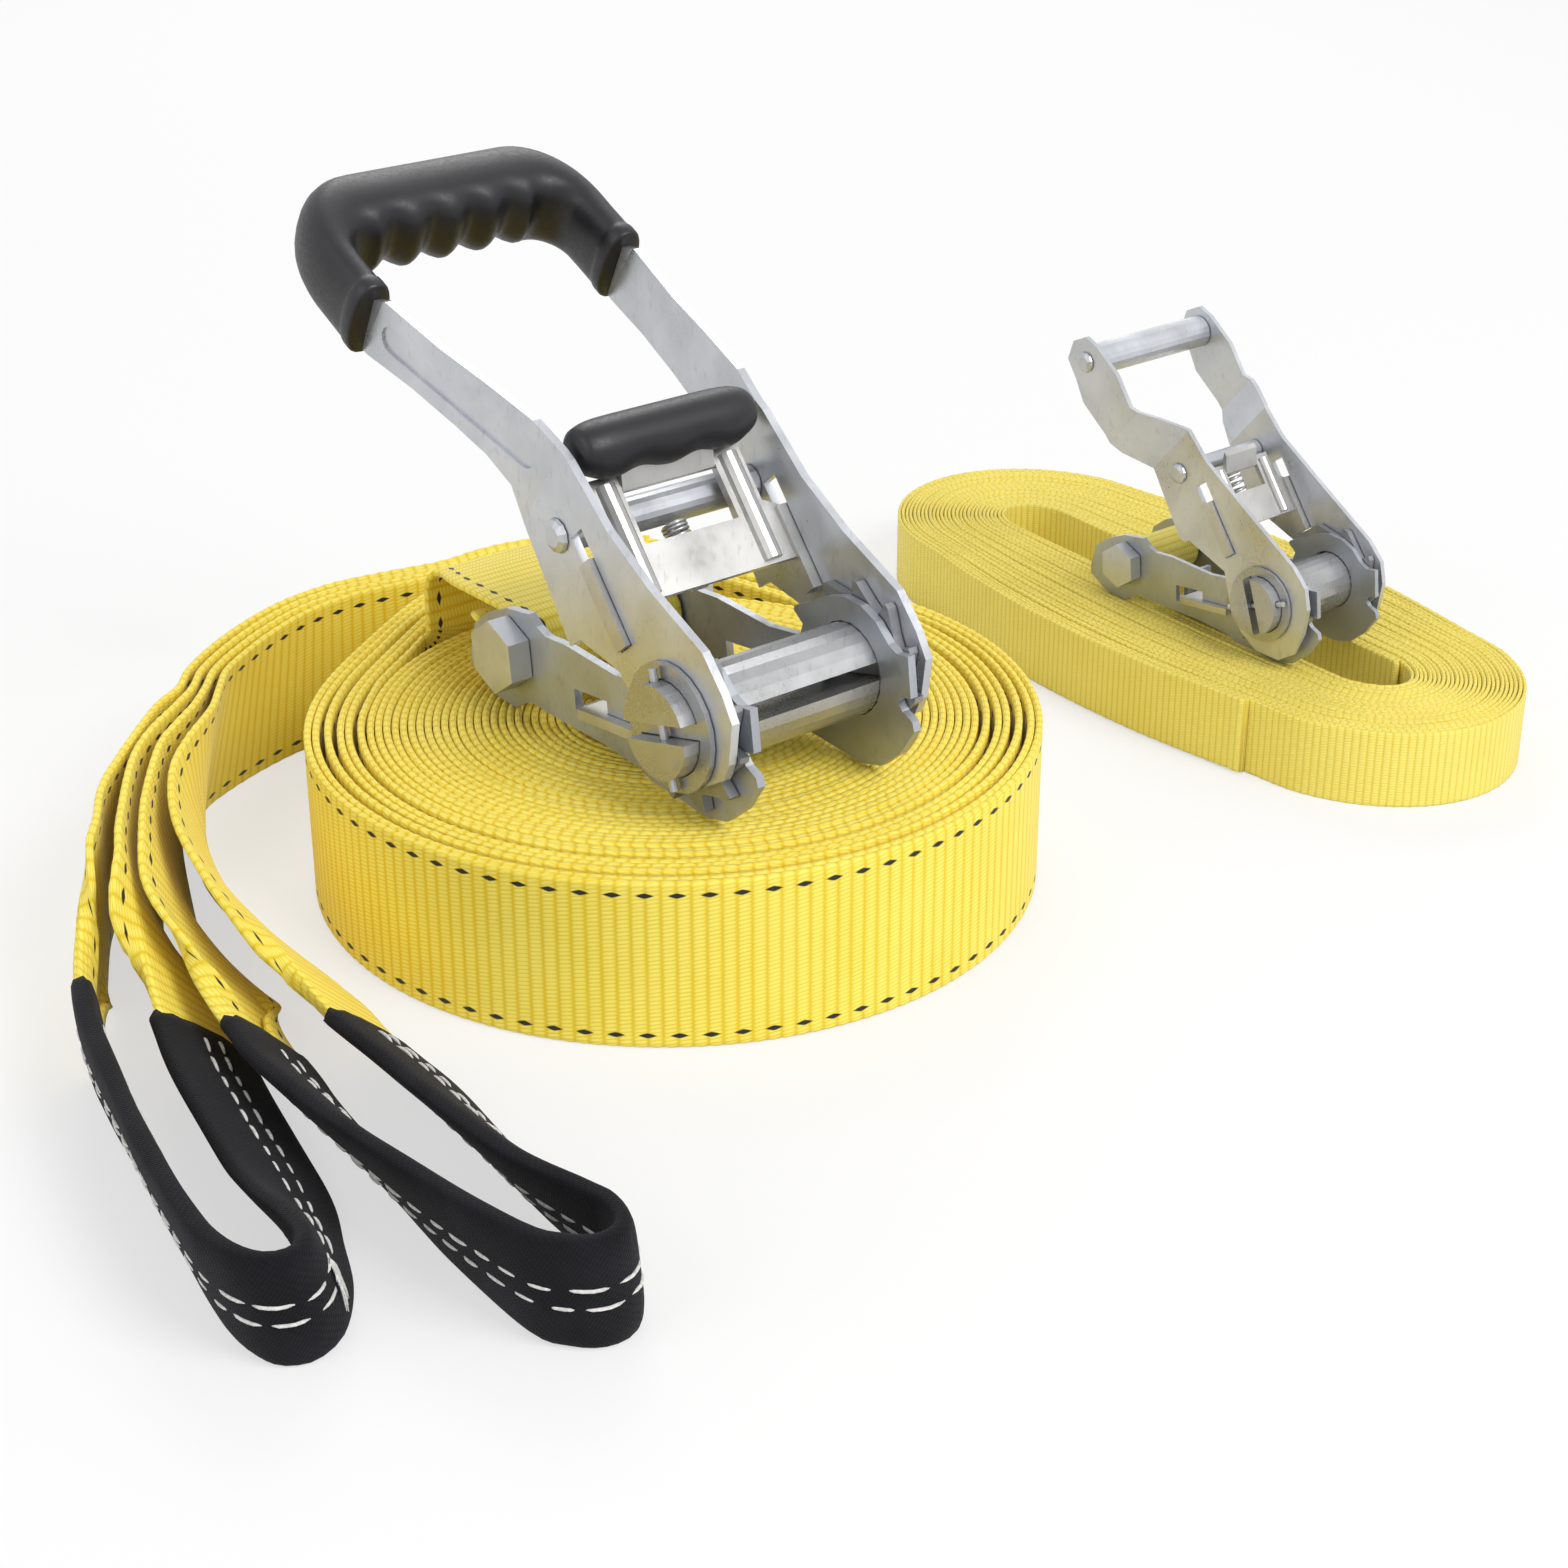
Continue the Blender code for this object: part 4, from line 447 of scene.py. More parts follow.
def folded_line(across, share, half_width, thickness):
    """Middle line of the section at one station: across and outward distances."""
    crease = EYE_WIDTH / 2.0
    past = np.clip(np.abs(across) - crease, 0.0, None)
    reach = crease + past * math.cos(math.pi * share)
    ease = np.clip(past / (half_width - crease) * FOLD_QUICKNESS, 0.0, 1.0)
    over = thickness * share * ease * ease * (3.0 - 2.0 * ease)
    lift = over + CURL_SHARE * past * math.sin(math.pi * share)
    flat = np.abs(across) <= crease
    return np.where(flat, across, np.sign(across) * reach), lift - thickness / 2.0 * share


print("an eye's section has", 2 * len(section_stations(LINE_WIDTH / 2.0, True)), "points")

# %% [markdown]
# Each station of a route has a place, the direction of the band's width and a share of folding. Its ring
# of points runs out along one face and back along the other. Two small truths go in here: the edges are
# thinner than the middle, and every second column stands a little proud at the edge. A ring that would
# dip under the floor is lifted on to it.

# %% Rings along a route
EDGE_THINNING = 0.55
RIM_ROUNDS = 1.1


def band_rings(places, ups, across, thickness, shares, knobs):
    """Rings of points round the band, one for each place."""
    side = np.cross(np.gradient(places, axis=0), ups)
    side /= np.linalg.norm(side, axis=1)[:, None]
    half_width = across[-1]
    half_thick = np.full(len(across), thickness / 2.0)
    half_thick[[0, -1]] *= EDGE_THINNING
    rings = np.zeros((len(places), 2 * len(across), 3))
    for k, place in enumerate(places):
        reach, lift = across, np.zeros(len(across))
        if shares[k] > 0.0:
            reach, lift = folded_line(across, shares[k], half_width, thickness)
        bump = knobs if k % 2 else -knobs
        reach = reach + np.sign(reach) * bump * (np.abs(across) > half_width - RIM_ROUNDS * EDGE_ROUND)
        line = np.stack([reach, lift], axis=1)
        run = np.gradient(line, axis=0)
        run /= np.linalg.norm(run, axis=1)[:, None]
        normal = np.stack([-run[:, 1], run[:, 0]], axis=1) * half_thick[:, None]
        loop = np.concatenate([line + normal, (line - normal)[::-1]])
        rings[k] = place + ups[k] * loop[:, :1] + side[k] * loop[:, 1:]
    rings[:, :, 2] -= np.minimum(0.0, rings[:, :, 2].min(axis=1))[:, None]
    return rings


print("edges are", round(EDGE_THINNING * 100.0), "% as thick as the middle")

# %% [markdown]
# Rings become a skin when neighbouring ones are joined with quads and both ends are closed. Every swept
# piece below needs that, so two helpers do it: one numbers the faces, the other makes the object.

# %% From rings to a piece


def skin_faces(stations, size, base=0, reverse=False):
    """Quads between neighbouring rings and two caps; reverse suits rings that run the other way."""
    grid = base + np.arange(stations * size).reshape(stations, size)
    turned = np.roll(grid, -1, axis=1)
    corners = [grid[:-1], grid[1:], turned[1:], turned[:-1]]
    caps = [grid[0], grid[-1][::-1]]
    if reverse:
        corners = corners[:1] + corners[:0:-1]
        caps = [cap[::-1] for cap in caps]
    quads = np.stack(corners, axis=-1).reshape(-1, 4)
    return quads.tolist() + [cap.tolist() for cap in caps]


def skinned(name, points, faces, material, weave=None):
    """A smooth piece from points and faces, with weave coordinates if it has any."""
    mesh = bpy.data.meshes.new(name)
    mesh.from_pydata(points, [], faces)
    if weave is not None:
        mesh.uv_layers.new(name="Weave").data.foreach_set("uv", weave.ravel())
    mesh.polygons.foreach_set("use_smooth", [True] * len(mesh.polygons))
    mesh.materials.append(material)
    piece = bpy.data.objects.new(name, mesh)
    bpy.context.scene.collection.objects.link(piece)
    return piece


print("a tube of 3 rings of 6 points has", len(skin_faces(3, 6)), "faces")

# %% [markdown]
# The weave needs to know how far along and across the webbing each corner lies. Unwrapping in the editor
# would guess, so the numbers are written as the band is built. The narrow edge faces get coordinates
# past the width, and the caps none.

# %% The band's weave coordinates and its mesh


def weave_corners(along, across, thickness):
    """Along and across for every corner of the band's faces."""
    size = 2 * len(across)
    begin = np.concatenate([across, across[::-1]])
    finish = np.roll(begin, -1)
    finish[len(across) - 1] = across[-1] + thickness
    begin[-1], finish[-1] = across[0] - thickness, across[0]
    u_here, u_next = (np.repeat(run[:, None], size, axis=1) for run in (along[:-1], along[1:]))
    v_from, v_to = (np.tile(edge, (len(along) - 1, 1)) for edge in (begin, finish))
    corners = [(u_here, v_from), (u_next, v_from), (u_next, v_to), (u_here, v_to)]
    uv = np.stack([np.stack(pair, axis=-1) for pair in corners], axis=2).reshape(-1, 2)
    return np.concatenate([uv, np.zeros((2 * size, 2))])


def run_lengths(places):
    """How far along the route each place lies."""
    return np.concatenate([[0.0], np.cumsum(np.linalg.norm(np.diff(places, axis=0), axis=1))])


def band_mesh(name, places, ups, width, thickness, material, shares=None, knobs=0.0, start=0.0):
    """One closed band through the places, and its length."""
    places = np.array([tuple(p) for p in places])
    ups = np.array([tuple(u) for u in ups])
    ups /= np.linalg.norm(ups, axis=1)[:, None]
    across = section_stations(width / 2.0, shares is not None)
    rings = band_rings(places, ups, across, thickness, shares or [0.0] * len(places), knobs)
    along = start + run_lengths(places)
    piece = skinned(name, rings.reshape(-1, 3).tolist(), skin_faces(len(places), 2 * len(across)),
                    material, weave_corners(along, across, thickness))
    return piece, float(along[-1] - start)


def evenly(places, step):
    """The same route with its places at even distances."""
    places = np.array([tuple(p) for p in places])
    run = run_lengths(places)
    stations = np.linspace(0.0, run[-1], max(2, int(round(run[-1] / step))) + 1)
    return np.stack([np.interp(stations, run, places[:, k]) for k in range(3)], axis=1)


WEBBING_BODY = "webbing_and_frames"


def webbing_piece(piece, length, node):
    """What every band of webbing says to the frame."""
    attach(piece, WEBBING_BODY)
    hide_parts(node)
    print(piece.name, round(length, 3), "m long,", len(piece.data.polygons), "faces")


print("bands ride on", WEBBING_BODY)

# %% [markdown]
# The long line is doubled at its middle and wound from there, so each turn is two layers. The tight inner
# turns hold more layers than the solid shows, and the last two turns are loose and bulge out at the back.
# Winding both strands as one route, in, round the middle and out again, makes the true length. Each
# layer sits a little higher or lower than the next, as hand-wound webbing does.

# %% The wide coil
TIGHT_TURNS = 18
STRAND_OFFSET = 1.17 * MM
COIL_LAYER = 2.02 * MM
COIL_WIDTH = LINE_WIDTH - 0.9 * MM
COIL_STEPS = 120
COIL_KNOBS = 0.12 * MM
UP = Vector((0.0, 0.0, 1.0))


def wound_radius(turn):
    """Distance of the doubled webbing from the coil's middle: tight turns first, then the loose ones."""
    loose_start = coil_radius_at(SOLID_LOOPS - LOOSE_TURNS)
    if turn <= TIGHT_TURNS:
        return CORE_RADIUS + (loose_start - CORE_RADIUS) * turn / TIGHT_TURNS
    return coil_radius_at(turn - TIGHT_TURNS + SOLID_LOOPS - LOOSE_TURNS)


def settling(turn, strand):
    """How much higher than the floor a layer stands at a turn."""
    wave = math.sin(2.3 * turn + 1.7 * strand) + 0.6 * math.sin(7.1 * turn + 4.0 * strand)
    return (0.40 + 0.20 * wave) * MM


def doubled_coil():
    """The route of both strands, from the outer end in, round the middle and out again."""
    inward, outward = [], []
    for step in range(COIL_STEPS * (TIGHT_TURNS + LOOSE_TURNS) + 1):
        turn = step / COIL_STEPS
        for route, strand in ((inward, 1.0), (outward, -1.0)):
            radius = wound_radius(turn) + STRAND_OFFSET * strand
            height = COIL_WIDTH / 2.0 + settling(turn, strand)
            route.append(polar(radius, END_BEARING + 360.0 * turn, height))
    middle = (inward[0] + outward[0]) / 2.0
    across = inward[0] - middle
    behind = Vector((across.y, -across.x, 0.0))
    turn_round = [middle + across * math.cos(a) + behind * math.sin(a)
                  for a in (math.pi / 4.0, math.pi / 2.0, 3.0 * math.pi / 4.0)]
    return [place + COIL_MIDDLE for place in inward[::-1] + turn_round + outward]


coil_route = evenly(doubled_coil(), COLUMN_PITCH / 2.0)
wide_coil, wide_coil_length = band_mesh("wide_coil", coil_route, [UP] * len(coil_route), COIL_WIDTH,
                                        COIL_LAYER, WIDE_WEBBING, knobs=COIL_KNOBS)
webbing_piece(wide_coil, wide_coil_length, "main_line_coil")

# %% [markdown]
# Four bands leave the coil side by side on the left and become the two eyes: both ends of the line's
# eye, and both ends of the ratchet strap's eye. Their routes are lists of plan places chosen along the
# real loops, the same ones that the solids follow, as shares of the coil's radius. Each row has the
# place, the lean of the band in degrees and how far it is folded.

# %% Routes of the two eyes
LINE_EYE_SHARES = (
    (-1.351, 0.287, -14, 0), (-1.354, 0.171, -14, 0), (-1.364, 0.040, -11, 0),
    (-1.358, -0.250, 2, 0), (-1.299, -0.602, 9, 0), (-1.234, -0.761, 20, 0.08),
    (-1.178, -0.872, 34, 0.3), (-1.114, -1.014, 45, 0.75), (-1.048, -1.169, 50, 1),
    (-0.971, -1.345, 52, 1), (-0.806, -1.683, 50, 1), (-0.734, -1.853, 40, 1),
    (-0.672, -1.991, 27, 1), (-0.644, -2.108, 12, 1), (-0.668, -2.178, 0, 1),
    (-0.732, -2.196, -6, 1), (-0.812, -2.140, -10, 1), (-0.893, -2.023, -13, 1),
    (-1.049, -1.729, -14, 1), (-1.238, -1.339, -9, 1), (-1.304, -1.182, -6, 1),
    (-1.357, -0.985, -3, 0.75), (-1.388, -0.786, 0, 0.3), (-1.396, -0.655, 3, 0.05),
    (-1.425, -0.455, 4, 0), (-1.425, -0.220, 7, 0), (-1.413, 0.040, 11, 0),
    (-1.391, 0.171, 14, 0), (-1.386, 0.287, 14, 0),
)
STRAP_EYE_SHARES = (
    (-1.281, 0.287, -14, 0), (-1.281, 0.171, -14, 0), (-1.263, 0.040, -11, 0),
    (-1.250, -0.070, -5, 0), (-1.236, -0.185, 3, 0), (-1.200, -0.340, 15, 0),
    (-1.115, -0.540, 26, 0), (-0.985, -0.720, 36, 0.1), (-0.885, -0.840, 41, 0.25),
    (-0.800, -0.935, 44, 0.5), (-0.709, -1.066, 46, 0.85), (-0.630, -1.167, 47, 1),
    (-0.538, -1.287, 46, 1), (-0.376, -1.534, 39, 1), (-0.227, -1.761, 29, 1),
    (-0.084, -1.920, 18, 1), (-0.035, -1.992, 10, 1), (-0.018, -2.079, 2, 1),
    (-0.062, -2.134, -4, 1), (-0.135, -2.135, -6, 1), (-0.223, -2.092, -8, 1),
    (-0.413, -1.887, -18, 1), (-0.610, -1.629, -31, 1), (-0.803, -1.345, -41, 1),
    (-0.882, -1.207, -43, 1), (-0.961, -1.073, -43, 0.8), (-1.045, -0.926, -40, 0.4),
    (-1.138, -0.756, -32, 0.1), (-1.200, -0.635, -20, 0), (-1.252, -0.469, -12, 0),
    (-1.297, -0.220, -4, 0), (-1.310, -0.090, 4, 0), (-1.316, 0.040, 11, 0),
    (-1.319, 0.171, 14, 0), (-1.316, 0.287, 14, 0),
)


def eye_knots(shares):
    """The plan knots of an eye in metres."""
    return [(x * COIL_RADIUS, y * COIL_RADIUS, lean, fold) for x, y, lean, fold in shares]


print("the eyes have", len(LINE_EYE_SHARES), "and", len(STRAP_EYE_SHARES), "knots")

# %% [markdown]
# Between the coil and the eyes the four bands run as a bundle. They hug the coil, then keep a distance
# that grows with the bearing, and they spread and lean as they part. Four lists of places would soon let
# two bands cross, so here each band's knots come from one rule and its number in the bundle.

# %% The bundle of four bands
BUNDLE_BEARINGS = (50.0, 117.0, 124.0, 131.0, 139.0, 147.4, 157.4, 168.0)
BUNDLE_SHARES = (0.0, 1.080, 1.138, 1.193, 1.248, 1.285, 1.301, 1.315)
LEAN_BEARINGS = (126.0, 166.0)
BUNDLE_LEANS = (0.0, 14.0)
SPREAD_BEARINGS = (116.0, 138.0)
SPREAD_SHARES = (0.0, 0.0095)
BUNDLE_END = 162.0
BUNDLE_GAP = 0.6 * MM
BUNDLE_STEP = 7.5
RETURN_BEARING = 95.0
STRAP_PLAY = 1.1 * MM


def bundle_knots(layer, start, end):
    """Plan knots along one of the four bands outside the coil, 0 the innermost."""
    knots = []
    count = max(1, int(round(abs(end - start) / BUNDLE_STEP)))
    for i in range(count + 1):
        bearing = start + (end - start) * i / count
        turn = SOLID_LOOPS - 1 + (bearing - END_BEARING) / 360.0
        hugging = coil_radius_at(turn) + (SOLID_THICKNESS + LINE_THICKNESS + STRAP_PLAY) / 2.0
        kept = float(np.interp(bearing, BUNDLE_BEARINGS, BUNDLE_SHARES)) * COIL_RADIUS
        spread = float(np.interp(bearing, SPREAD_BEARINGS, SPREAD_SHARES)) * COIL_RADIUS
        place = polar(max(hugging, kept) + layer * (LINE_THICKNESS + BUNDLE_GAP + spread), bearing)
        lean = math.copysign(1.0, start - end) * float(np.interp(bearing, LEAN_BEARINGS, BUNDLE_LEANS))
        knots.append((place.x, place.y, lean, 0.0))
    return knots


print("a band of the bundle has", len(bundle_knots(0, END_BEARING, BUNDLE_END)), "knots")

# %% [markdown]
# A smooth curve through the knots gives stations a few millimetres apart. A Bezier curve object could do
# it with handles, but this one takes its slope from the neighbours, so a knot moved by hand moves only
# its own stretch. A band on its edge then needs its height: half its width, less where it leans, more
# where a sleeve is under it.

# %% From knots to a band on its edge
EYE_STATION = 2.6 * MM
EYE_THICKNESS = 4.0 * MM
SLEEVE_WALL = 0.8 * MM
SLEEVE_GAP = 0.5 * MM


def smooth_route(knots, step, place_values=3):
    """Stations about a step apart on a smooth curve through the knots."""
    knots = [np.array(knot, dtype=float) for knot in knots]
    stations = []
    for i in range(len(knots) - 1):
        a, b = knots[i], knots[i + 1]
        before = knots[i - 1] if i else 2.0 * a - b
        after = knots[i + 2] if i + 2 < len(knots) else 2.0 * b - a
        pieces = max(1, int(round(np.linalg.norm((b - a)[:place_values]) / step)))
        for k in range(pieces):
            t = k / pieces
            stations.append((2 * t ** 3 - 3 * t ** 2 + 1) * a
                            + (t ** 3 - 2 * t ** 2 + t) * (b - before) / 2.0
                            + (3 * t ** 2 - 2 * t ** 3) * b + (t ** 3 - t ** 2) * (after - a) / 2.0)
    stations.append(knots[-1])
    return stations


def standing(knots):
    """Places, width directions and fold shares of a band that stands on the floor on its edge."""
    places, ups, shares = [], [], []
    stations = smooth_route(knots, EYE_STATION, 2)
    for i, (x, y, lean, fold) in enumerate(stations):
        share = rise(fold, 0.0, 1.0)
        before, after = stations[max(i - 1, 0)], stations[min(i + 1, len(stations) - 1)]
        ahead = Vector((after[0] - before[0], after[1] - before[1], 0.0)).normalized()
        tilt = math.radians(lean)
        wide = LINE_WIDTH + (EYE_WIDTH - LINE_WIDTH) * share
        thick = LINE_THICKNESS + (EYE_THICKNESS - LINE_THICKNESS) * share
        wall = (SLEEVE_WALL + SLEEVE_GAP) * share
        low = (wide / 2.0 + wall) * math.cos(tilt) + (thick / 2.0 + wall) * abs(math.sin(tilt))
        places.append(Vector((x, y, low)) + COIL_MIDDLE)
        ups.append(UP * math.cos(tilt) + ahead.cross(UP) * math.sin(tilt))
        shares.append(share)
    return places, ups, shares


print("stations lie", round(EYE_STATION / MM, 1), "mm apart")

# %% [markdown]
# The outer layer of the coil runs on as the end of the line, is turned back into an eye and ends beside
# itself. It has its own piece because it folds: the fold shares come from the same list as the route.

# %% The line's end and its eye
END_GAP = 0.45 * MM
FIRST_BEND = 15.0
EYE_KNOBS = 0.10 * MM

end_radius = coil_radius_at(SOLID_LOOPS) + (SOLID_THICKNESS - LINE_THICKNESS) / 2.0
end_start = polar(end_radius, END_BEARING + math.degrees(END_GAP / end_radius))
end_knots = [(end_start.x, end_start.y, 0.0, 0.0)] + bundle_knots(2, END_BEARING + FIRST_BEND, BUNDLE_END)
end_knots += eye_knots(LINE_EYE_SHARES) + bundle_knots(3, BUNDLE_END, RETURN_BEARING)
end_places, end_ups, end_shares = standing(end_knots)
line_end, line_end_length = band_mesh("line_end", end_places, end_ups, LINE_WIDTH, COIL_LAYER, WIDE_WEBBING,
                                      shares=end_shares, knobs=EYE_KNOBS, start=wide_coil_length)
webbing_piece(line_end, line_end_length, "main_line_end")

# %% [markdown]
# The ratchet strap is sewn round the ratchet's anchor bolt, lies over the tight turns, bends down into
# the gap behind them and folds round until it stands on edge. That bend is a quarter circle, and the fold
# a fan round a low pivot, because webbing can't stretch and only turns in its own plane like this.

# %% The strap's bend into the gap
STRAP_DROP_BEARING = 129.5
STRAP_DROP_SHARE = 0.8160
STRAP_DROP_TOP_SHARE = 0.668
STRAP_BEND_SHARE = 0.083
BEND_STEPS = 3
FAN_STEPS = 6
FAN_ARM = LINE_WIDTH / 2.0 + LINE_THICKNESS


def strap_drop():
    """The bend down into the gap and the fan fold round a low pivot."""
    wall = polar(STRAP_DROP_SHARE * COIL_RADIUS, STRAP_DROP_BEARING)
    out = wall.normalized()
    along = UP.cross(out)
    top = STRAP_DROP_TOP_SHARE * COIL_RADIUS
    bend = STRAP_BEND_SHARE * COIL_RADIUS
    knots = []
    for step in range(BEND_STEPS + 1):
        angle = math.pi / 2.0 * step / BEND_STEPS
        place = wall - out * (bend * (1.0 - math.sin(angle))) + UP * (top - bend * (1.0 - math.cos(angle)))
        knots.append((place, along))
    pivot = wall + along * FAN_ARM + UP * (LINE_WIDTH + LINE_THICKNESS)
    for step in range(FAN_STEPS + 1):
        angle = math.pi / 2.0 * step / FAN_STEPS
        toward = -along * math.cos(angle) - UP * math.sin(angle)
        knots.append((pivot + toward * FAN_ARM, -toward))
    return knots


print("the strap bends over", round(STRAP_BEND_SHARE * COIL_RADIUS / MM, 1), "mm")

# %% [markdown]
# From there it lies between the last two turns, which the solids leave apart for it, and comes out on the
# left. A curve's tilt is hard to steer where a band turns in space, so each knot of this part carries its
# width direction as well as its place. The anchor bolt's place follows from the spool's solids and the
# ratchet's own sizes.

# %% The strap from its bolt to the bundle
MAIN_PLACE = Vector((30.7, -49.7, 0.0)) * MM
MAIN_BEARING = 39.0
MAIN_FRAME = 85.3 * MM
FRAME_DROOP = math.radians(6.17)
MAIN_SLEEVE_RADIUS = 8.0 * MM
SLIDING_GAP = 0.4 * MM
STRAP_UNDER_SHARES = ((0.0, 0.240, 0.024), (0.0, 0.200, 0.012), (0.0, 0.158, -0.010))
STRAP_OVER_SHARES = ((0.0, 0.110, 0.087), (0.008, 0.235, 0.080), (0.022, 0.360, 0.068))
STRAP_WRAP = (-60.0, -210.0, 8)
STRAP_ALONG = ((152.0, 0.8295), (158.0, 0.8155), (164.0, 0.8120))
STRAP_TURNS = 1.6667
TURN_POINTS = 24


def spool_axis(node, place):
    """A plan place with the height of a ratchet's axis, which the spool's solids give."""
    low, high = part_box(node)
    return Vector((place.x, place.y, (low[2] + high[2]) / 2.0))


def anchor_place(node, place, turn, length):
    """The middle of a ratchet's anchor bolt: a frame's length from its spool, a little lower."""
    reach = Vector((0.0, length * math.cos(FRAME_DROOP), -length * math.sin(FRAME_DROOP)))
    return spool_axis(node, place) + turn @ reach


def wrapped(radius, start, sweep, steps):
    """Points round a bolt, in a ratchet's own directions."""
    angles = [math.radians(start + sweep * step / steps) for step in range(steps + 1)]
    return [Vector((0.0, radius * math.cos(angle), radius * math.sin(angle))) for angle in angles]


def strap_lead():
    """Places and width directions from the anchor bolt to the bundle on the left."""
    turn = Matrix.Rotation(math.radians(MAIN_BEARING), 3, "Z")
    anchor = anchor_place("main_end_disc_near", MAIN_PLACE, turn, MAIN_FRAME)
    across = turn @ Vector((-1.0, 0.0, 0.0))
    local = [Vector(share) * COIL_RADIUS for share in STRAP_UNDER_SHARES]
    local += wrapped(MAIN_SLEEVE_RADIUS + SLIDING_GAP + LINE_THICKNESS / 2.0, *STRAP_WRAP)
    local += [Vector(share) * COIL_RADIUS for share in STRAP_OVER_SHARES]
    knots = [(anchor + turn @ place, across) for place in local] + strap_drop()
    knots += [(polar(share * COIL_RADIUS, bearing, LINE_WIDTH / 2.0), UP) for bearing, share in STRAP_ALONG]
    shift = -(COIL_PITCH + STRAP_ROOM) / 2.0
    for step in range(int(round(STRAP_TURNS * TURN_POINTS)) + 1):
        knots.append((coil_place(SOLID_LOOPS - STRAP_TURNS + step / TURN_POINTS, shift), UP))
    return [tuple(place + COIL_MIDDLE) + tuple(up) for place, up in knots]


lead = smooth_route(strap_lead(), EYE_STATION)
print("the lead has", len(lead), "stations")

# %% [markdown]
# The lead and the eye are two ways to say a route, one with directions in space and one as knots on the
# floor. Both give stations, so they are joined end to end, and one band is carried along them all. The
# print says how far apart they meet.

# %% The ratchet strap and its eye
LEAD_BEARING = 7.5

strap_knots = bundle_knots(0, END_BEARING + LEAD_BEARING, BUNDLE_END) + eye_knots(STRAP_EYE_SHARES)
strap_knots += bundle_knots(1, BUNDLE_END, RETURN_BEARING)
strap_places, strap_ups, strap_shares = standing(strap_knots)
joint_gap = (Vector(strap_places[0]) - Vector(lead[-1][:3])).length
strap_places = [Vector(station[:3]) for station in lead[:-1]] + strap_places
strap_ups = [Vector(station[3:]) for station in lead[:-1]] + strap_ups
strap_shares = [0.0] * (len(lead) - 1) + strap_shares
ratchet_strap, strap_length = band_mesh("ratchet_webbing", strap_places, strap_ups, LINE_WIDTH, COIL_LAYER,
                                        WIDE_WEBBING, shares=strap_shares, knobs=EYE_KNOBS)
print("lead joins the bundle within", round(joint_gap / MM, 2), "mm")
webbing_piece(ratchet_strap, strap_length, "ratchet_strap")

# %% [markdown]
# A sewn eye wears a black sleeve where it goes round a shackle. The sleeve is a flattened tube that
# follows the folded band, with a softly puffed wall and ragged mouths. A tube by Skin or Solidify would
# lose its even wall in the tight nose, so outer and inner rings are placed directly.

# %% The wall of a sleeve
SLEEVE_POINTS = 28
SLEEVE_SQUARENESS = 0.55
FULL_FOLD = 0.985
MOUTH_RAG = 1.3 * MM
PUFF_DEPTH = 0.07
PUFF_LENGTHS = (9.0 * MM, 23.0 * MM)


def sleeve_section(half_tall, half_thick):
    """A rounded oblong, as across and outward distances."""
    angles = np.linspace(0.0, 2.0 * math.pi, SLEEVE_POINTS, endpoint=False) + math.pi / SLEEVE_POINTS
    c, s = np.cos(angles), np.sin(angles)
    tall = half_tall * np.sign(c) * np.abs(c) ** SLEEVE_SQUARENESS
    thick = half_thick * np.sign(s) * np.abs(s) ** SLEEVE_SQUARENESS
    return np.stack([tall, thick], axis=1)


def sleeve_rings(section, puffed, places, ups, ahead, side, along):
    """One wall of the sleeve as rings, ragged at its mouths."""
    rings = []
    for k, place in enumerate(places):
        wave = math.sin(along[k] / PUFF_LENGTHS[0]) * math.cos(along[k] / PUFF_LENGTHS[1])
        puff = 1.0 - PUFF_DEPTH * (1.0 + wave) if puffed else 1.0
        ring = place + ups[k] * section[:, :1] + side[k] * section[:, 1:] * puff
        if k in (0, len(places) - 1):
            rag = np.sin(np.arange(SLEEVE_POINTS) * 2.1 + k) + np.sin(np.arange(SLEEVE_POINTS) * 5.3)
            ring = ring + ahead[k] * (MOUTH_RAG / 2.0 * rag)[:, None]
        rings.append(ring)
    return np.array(rings).reshape(-1, 3)


print("a sleeve's wall is", round(SLEEVE_WALL / MM, 1), "mm thick")

# %% [markdown]
# Both walls are joined at the mouths, which makes one closed skin of quads. Its weave coordinates run
# along the eye and round the tube. Where a quad spans the seam, its last corners get the full girth
# instead of zero, or the ribs would be squeezed into one quad.

# %% Sleeves over the eyes


def sleeve_faces(count):
    """Outer wall, lining and both mouths, all as quads."""
    shift = count * SLEEVE_POINTS
    ring = np.arange(SLEEVE_POINTS)
    beside = np.roll(ring, -1)
    mouth = np.stack([ring, beside, beside + shift, ring + shift], axis=-1)
    far = np.stack([ring, ring + shift, beside + shift, beside], axis=-1) + shift - SLEEVE_POINTS
    wall = skin_faces(count, SLEEVE_POINTS)[:-2]
    lining = skin_faces(count, SLEEVE_POINTS, shift, reverse=True)[:-2]
    return np.concatenate([wall, lining, mouth, far])


def sleeve_weave(faces, along, girth):
    """Along the eye and round the tube, for every corner."""
    indices = faces.ravel() % (len(along) * SLEEVE_POINTS)
    spot = (indices % SLEEVE_POINTS).reshape(-1, 4)
    round_run = girth[spot]
    opposite = np.roll(round_run, -2, axis=1)
    round_run[(spot == 0) & (opposite > girth[-1] / 2.0)] = girth[-1]
    return np.stack([along[indices // SLEEVE_POINTS], round_run.ravel()], axis=-1)


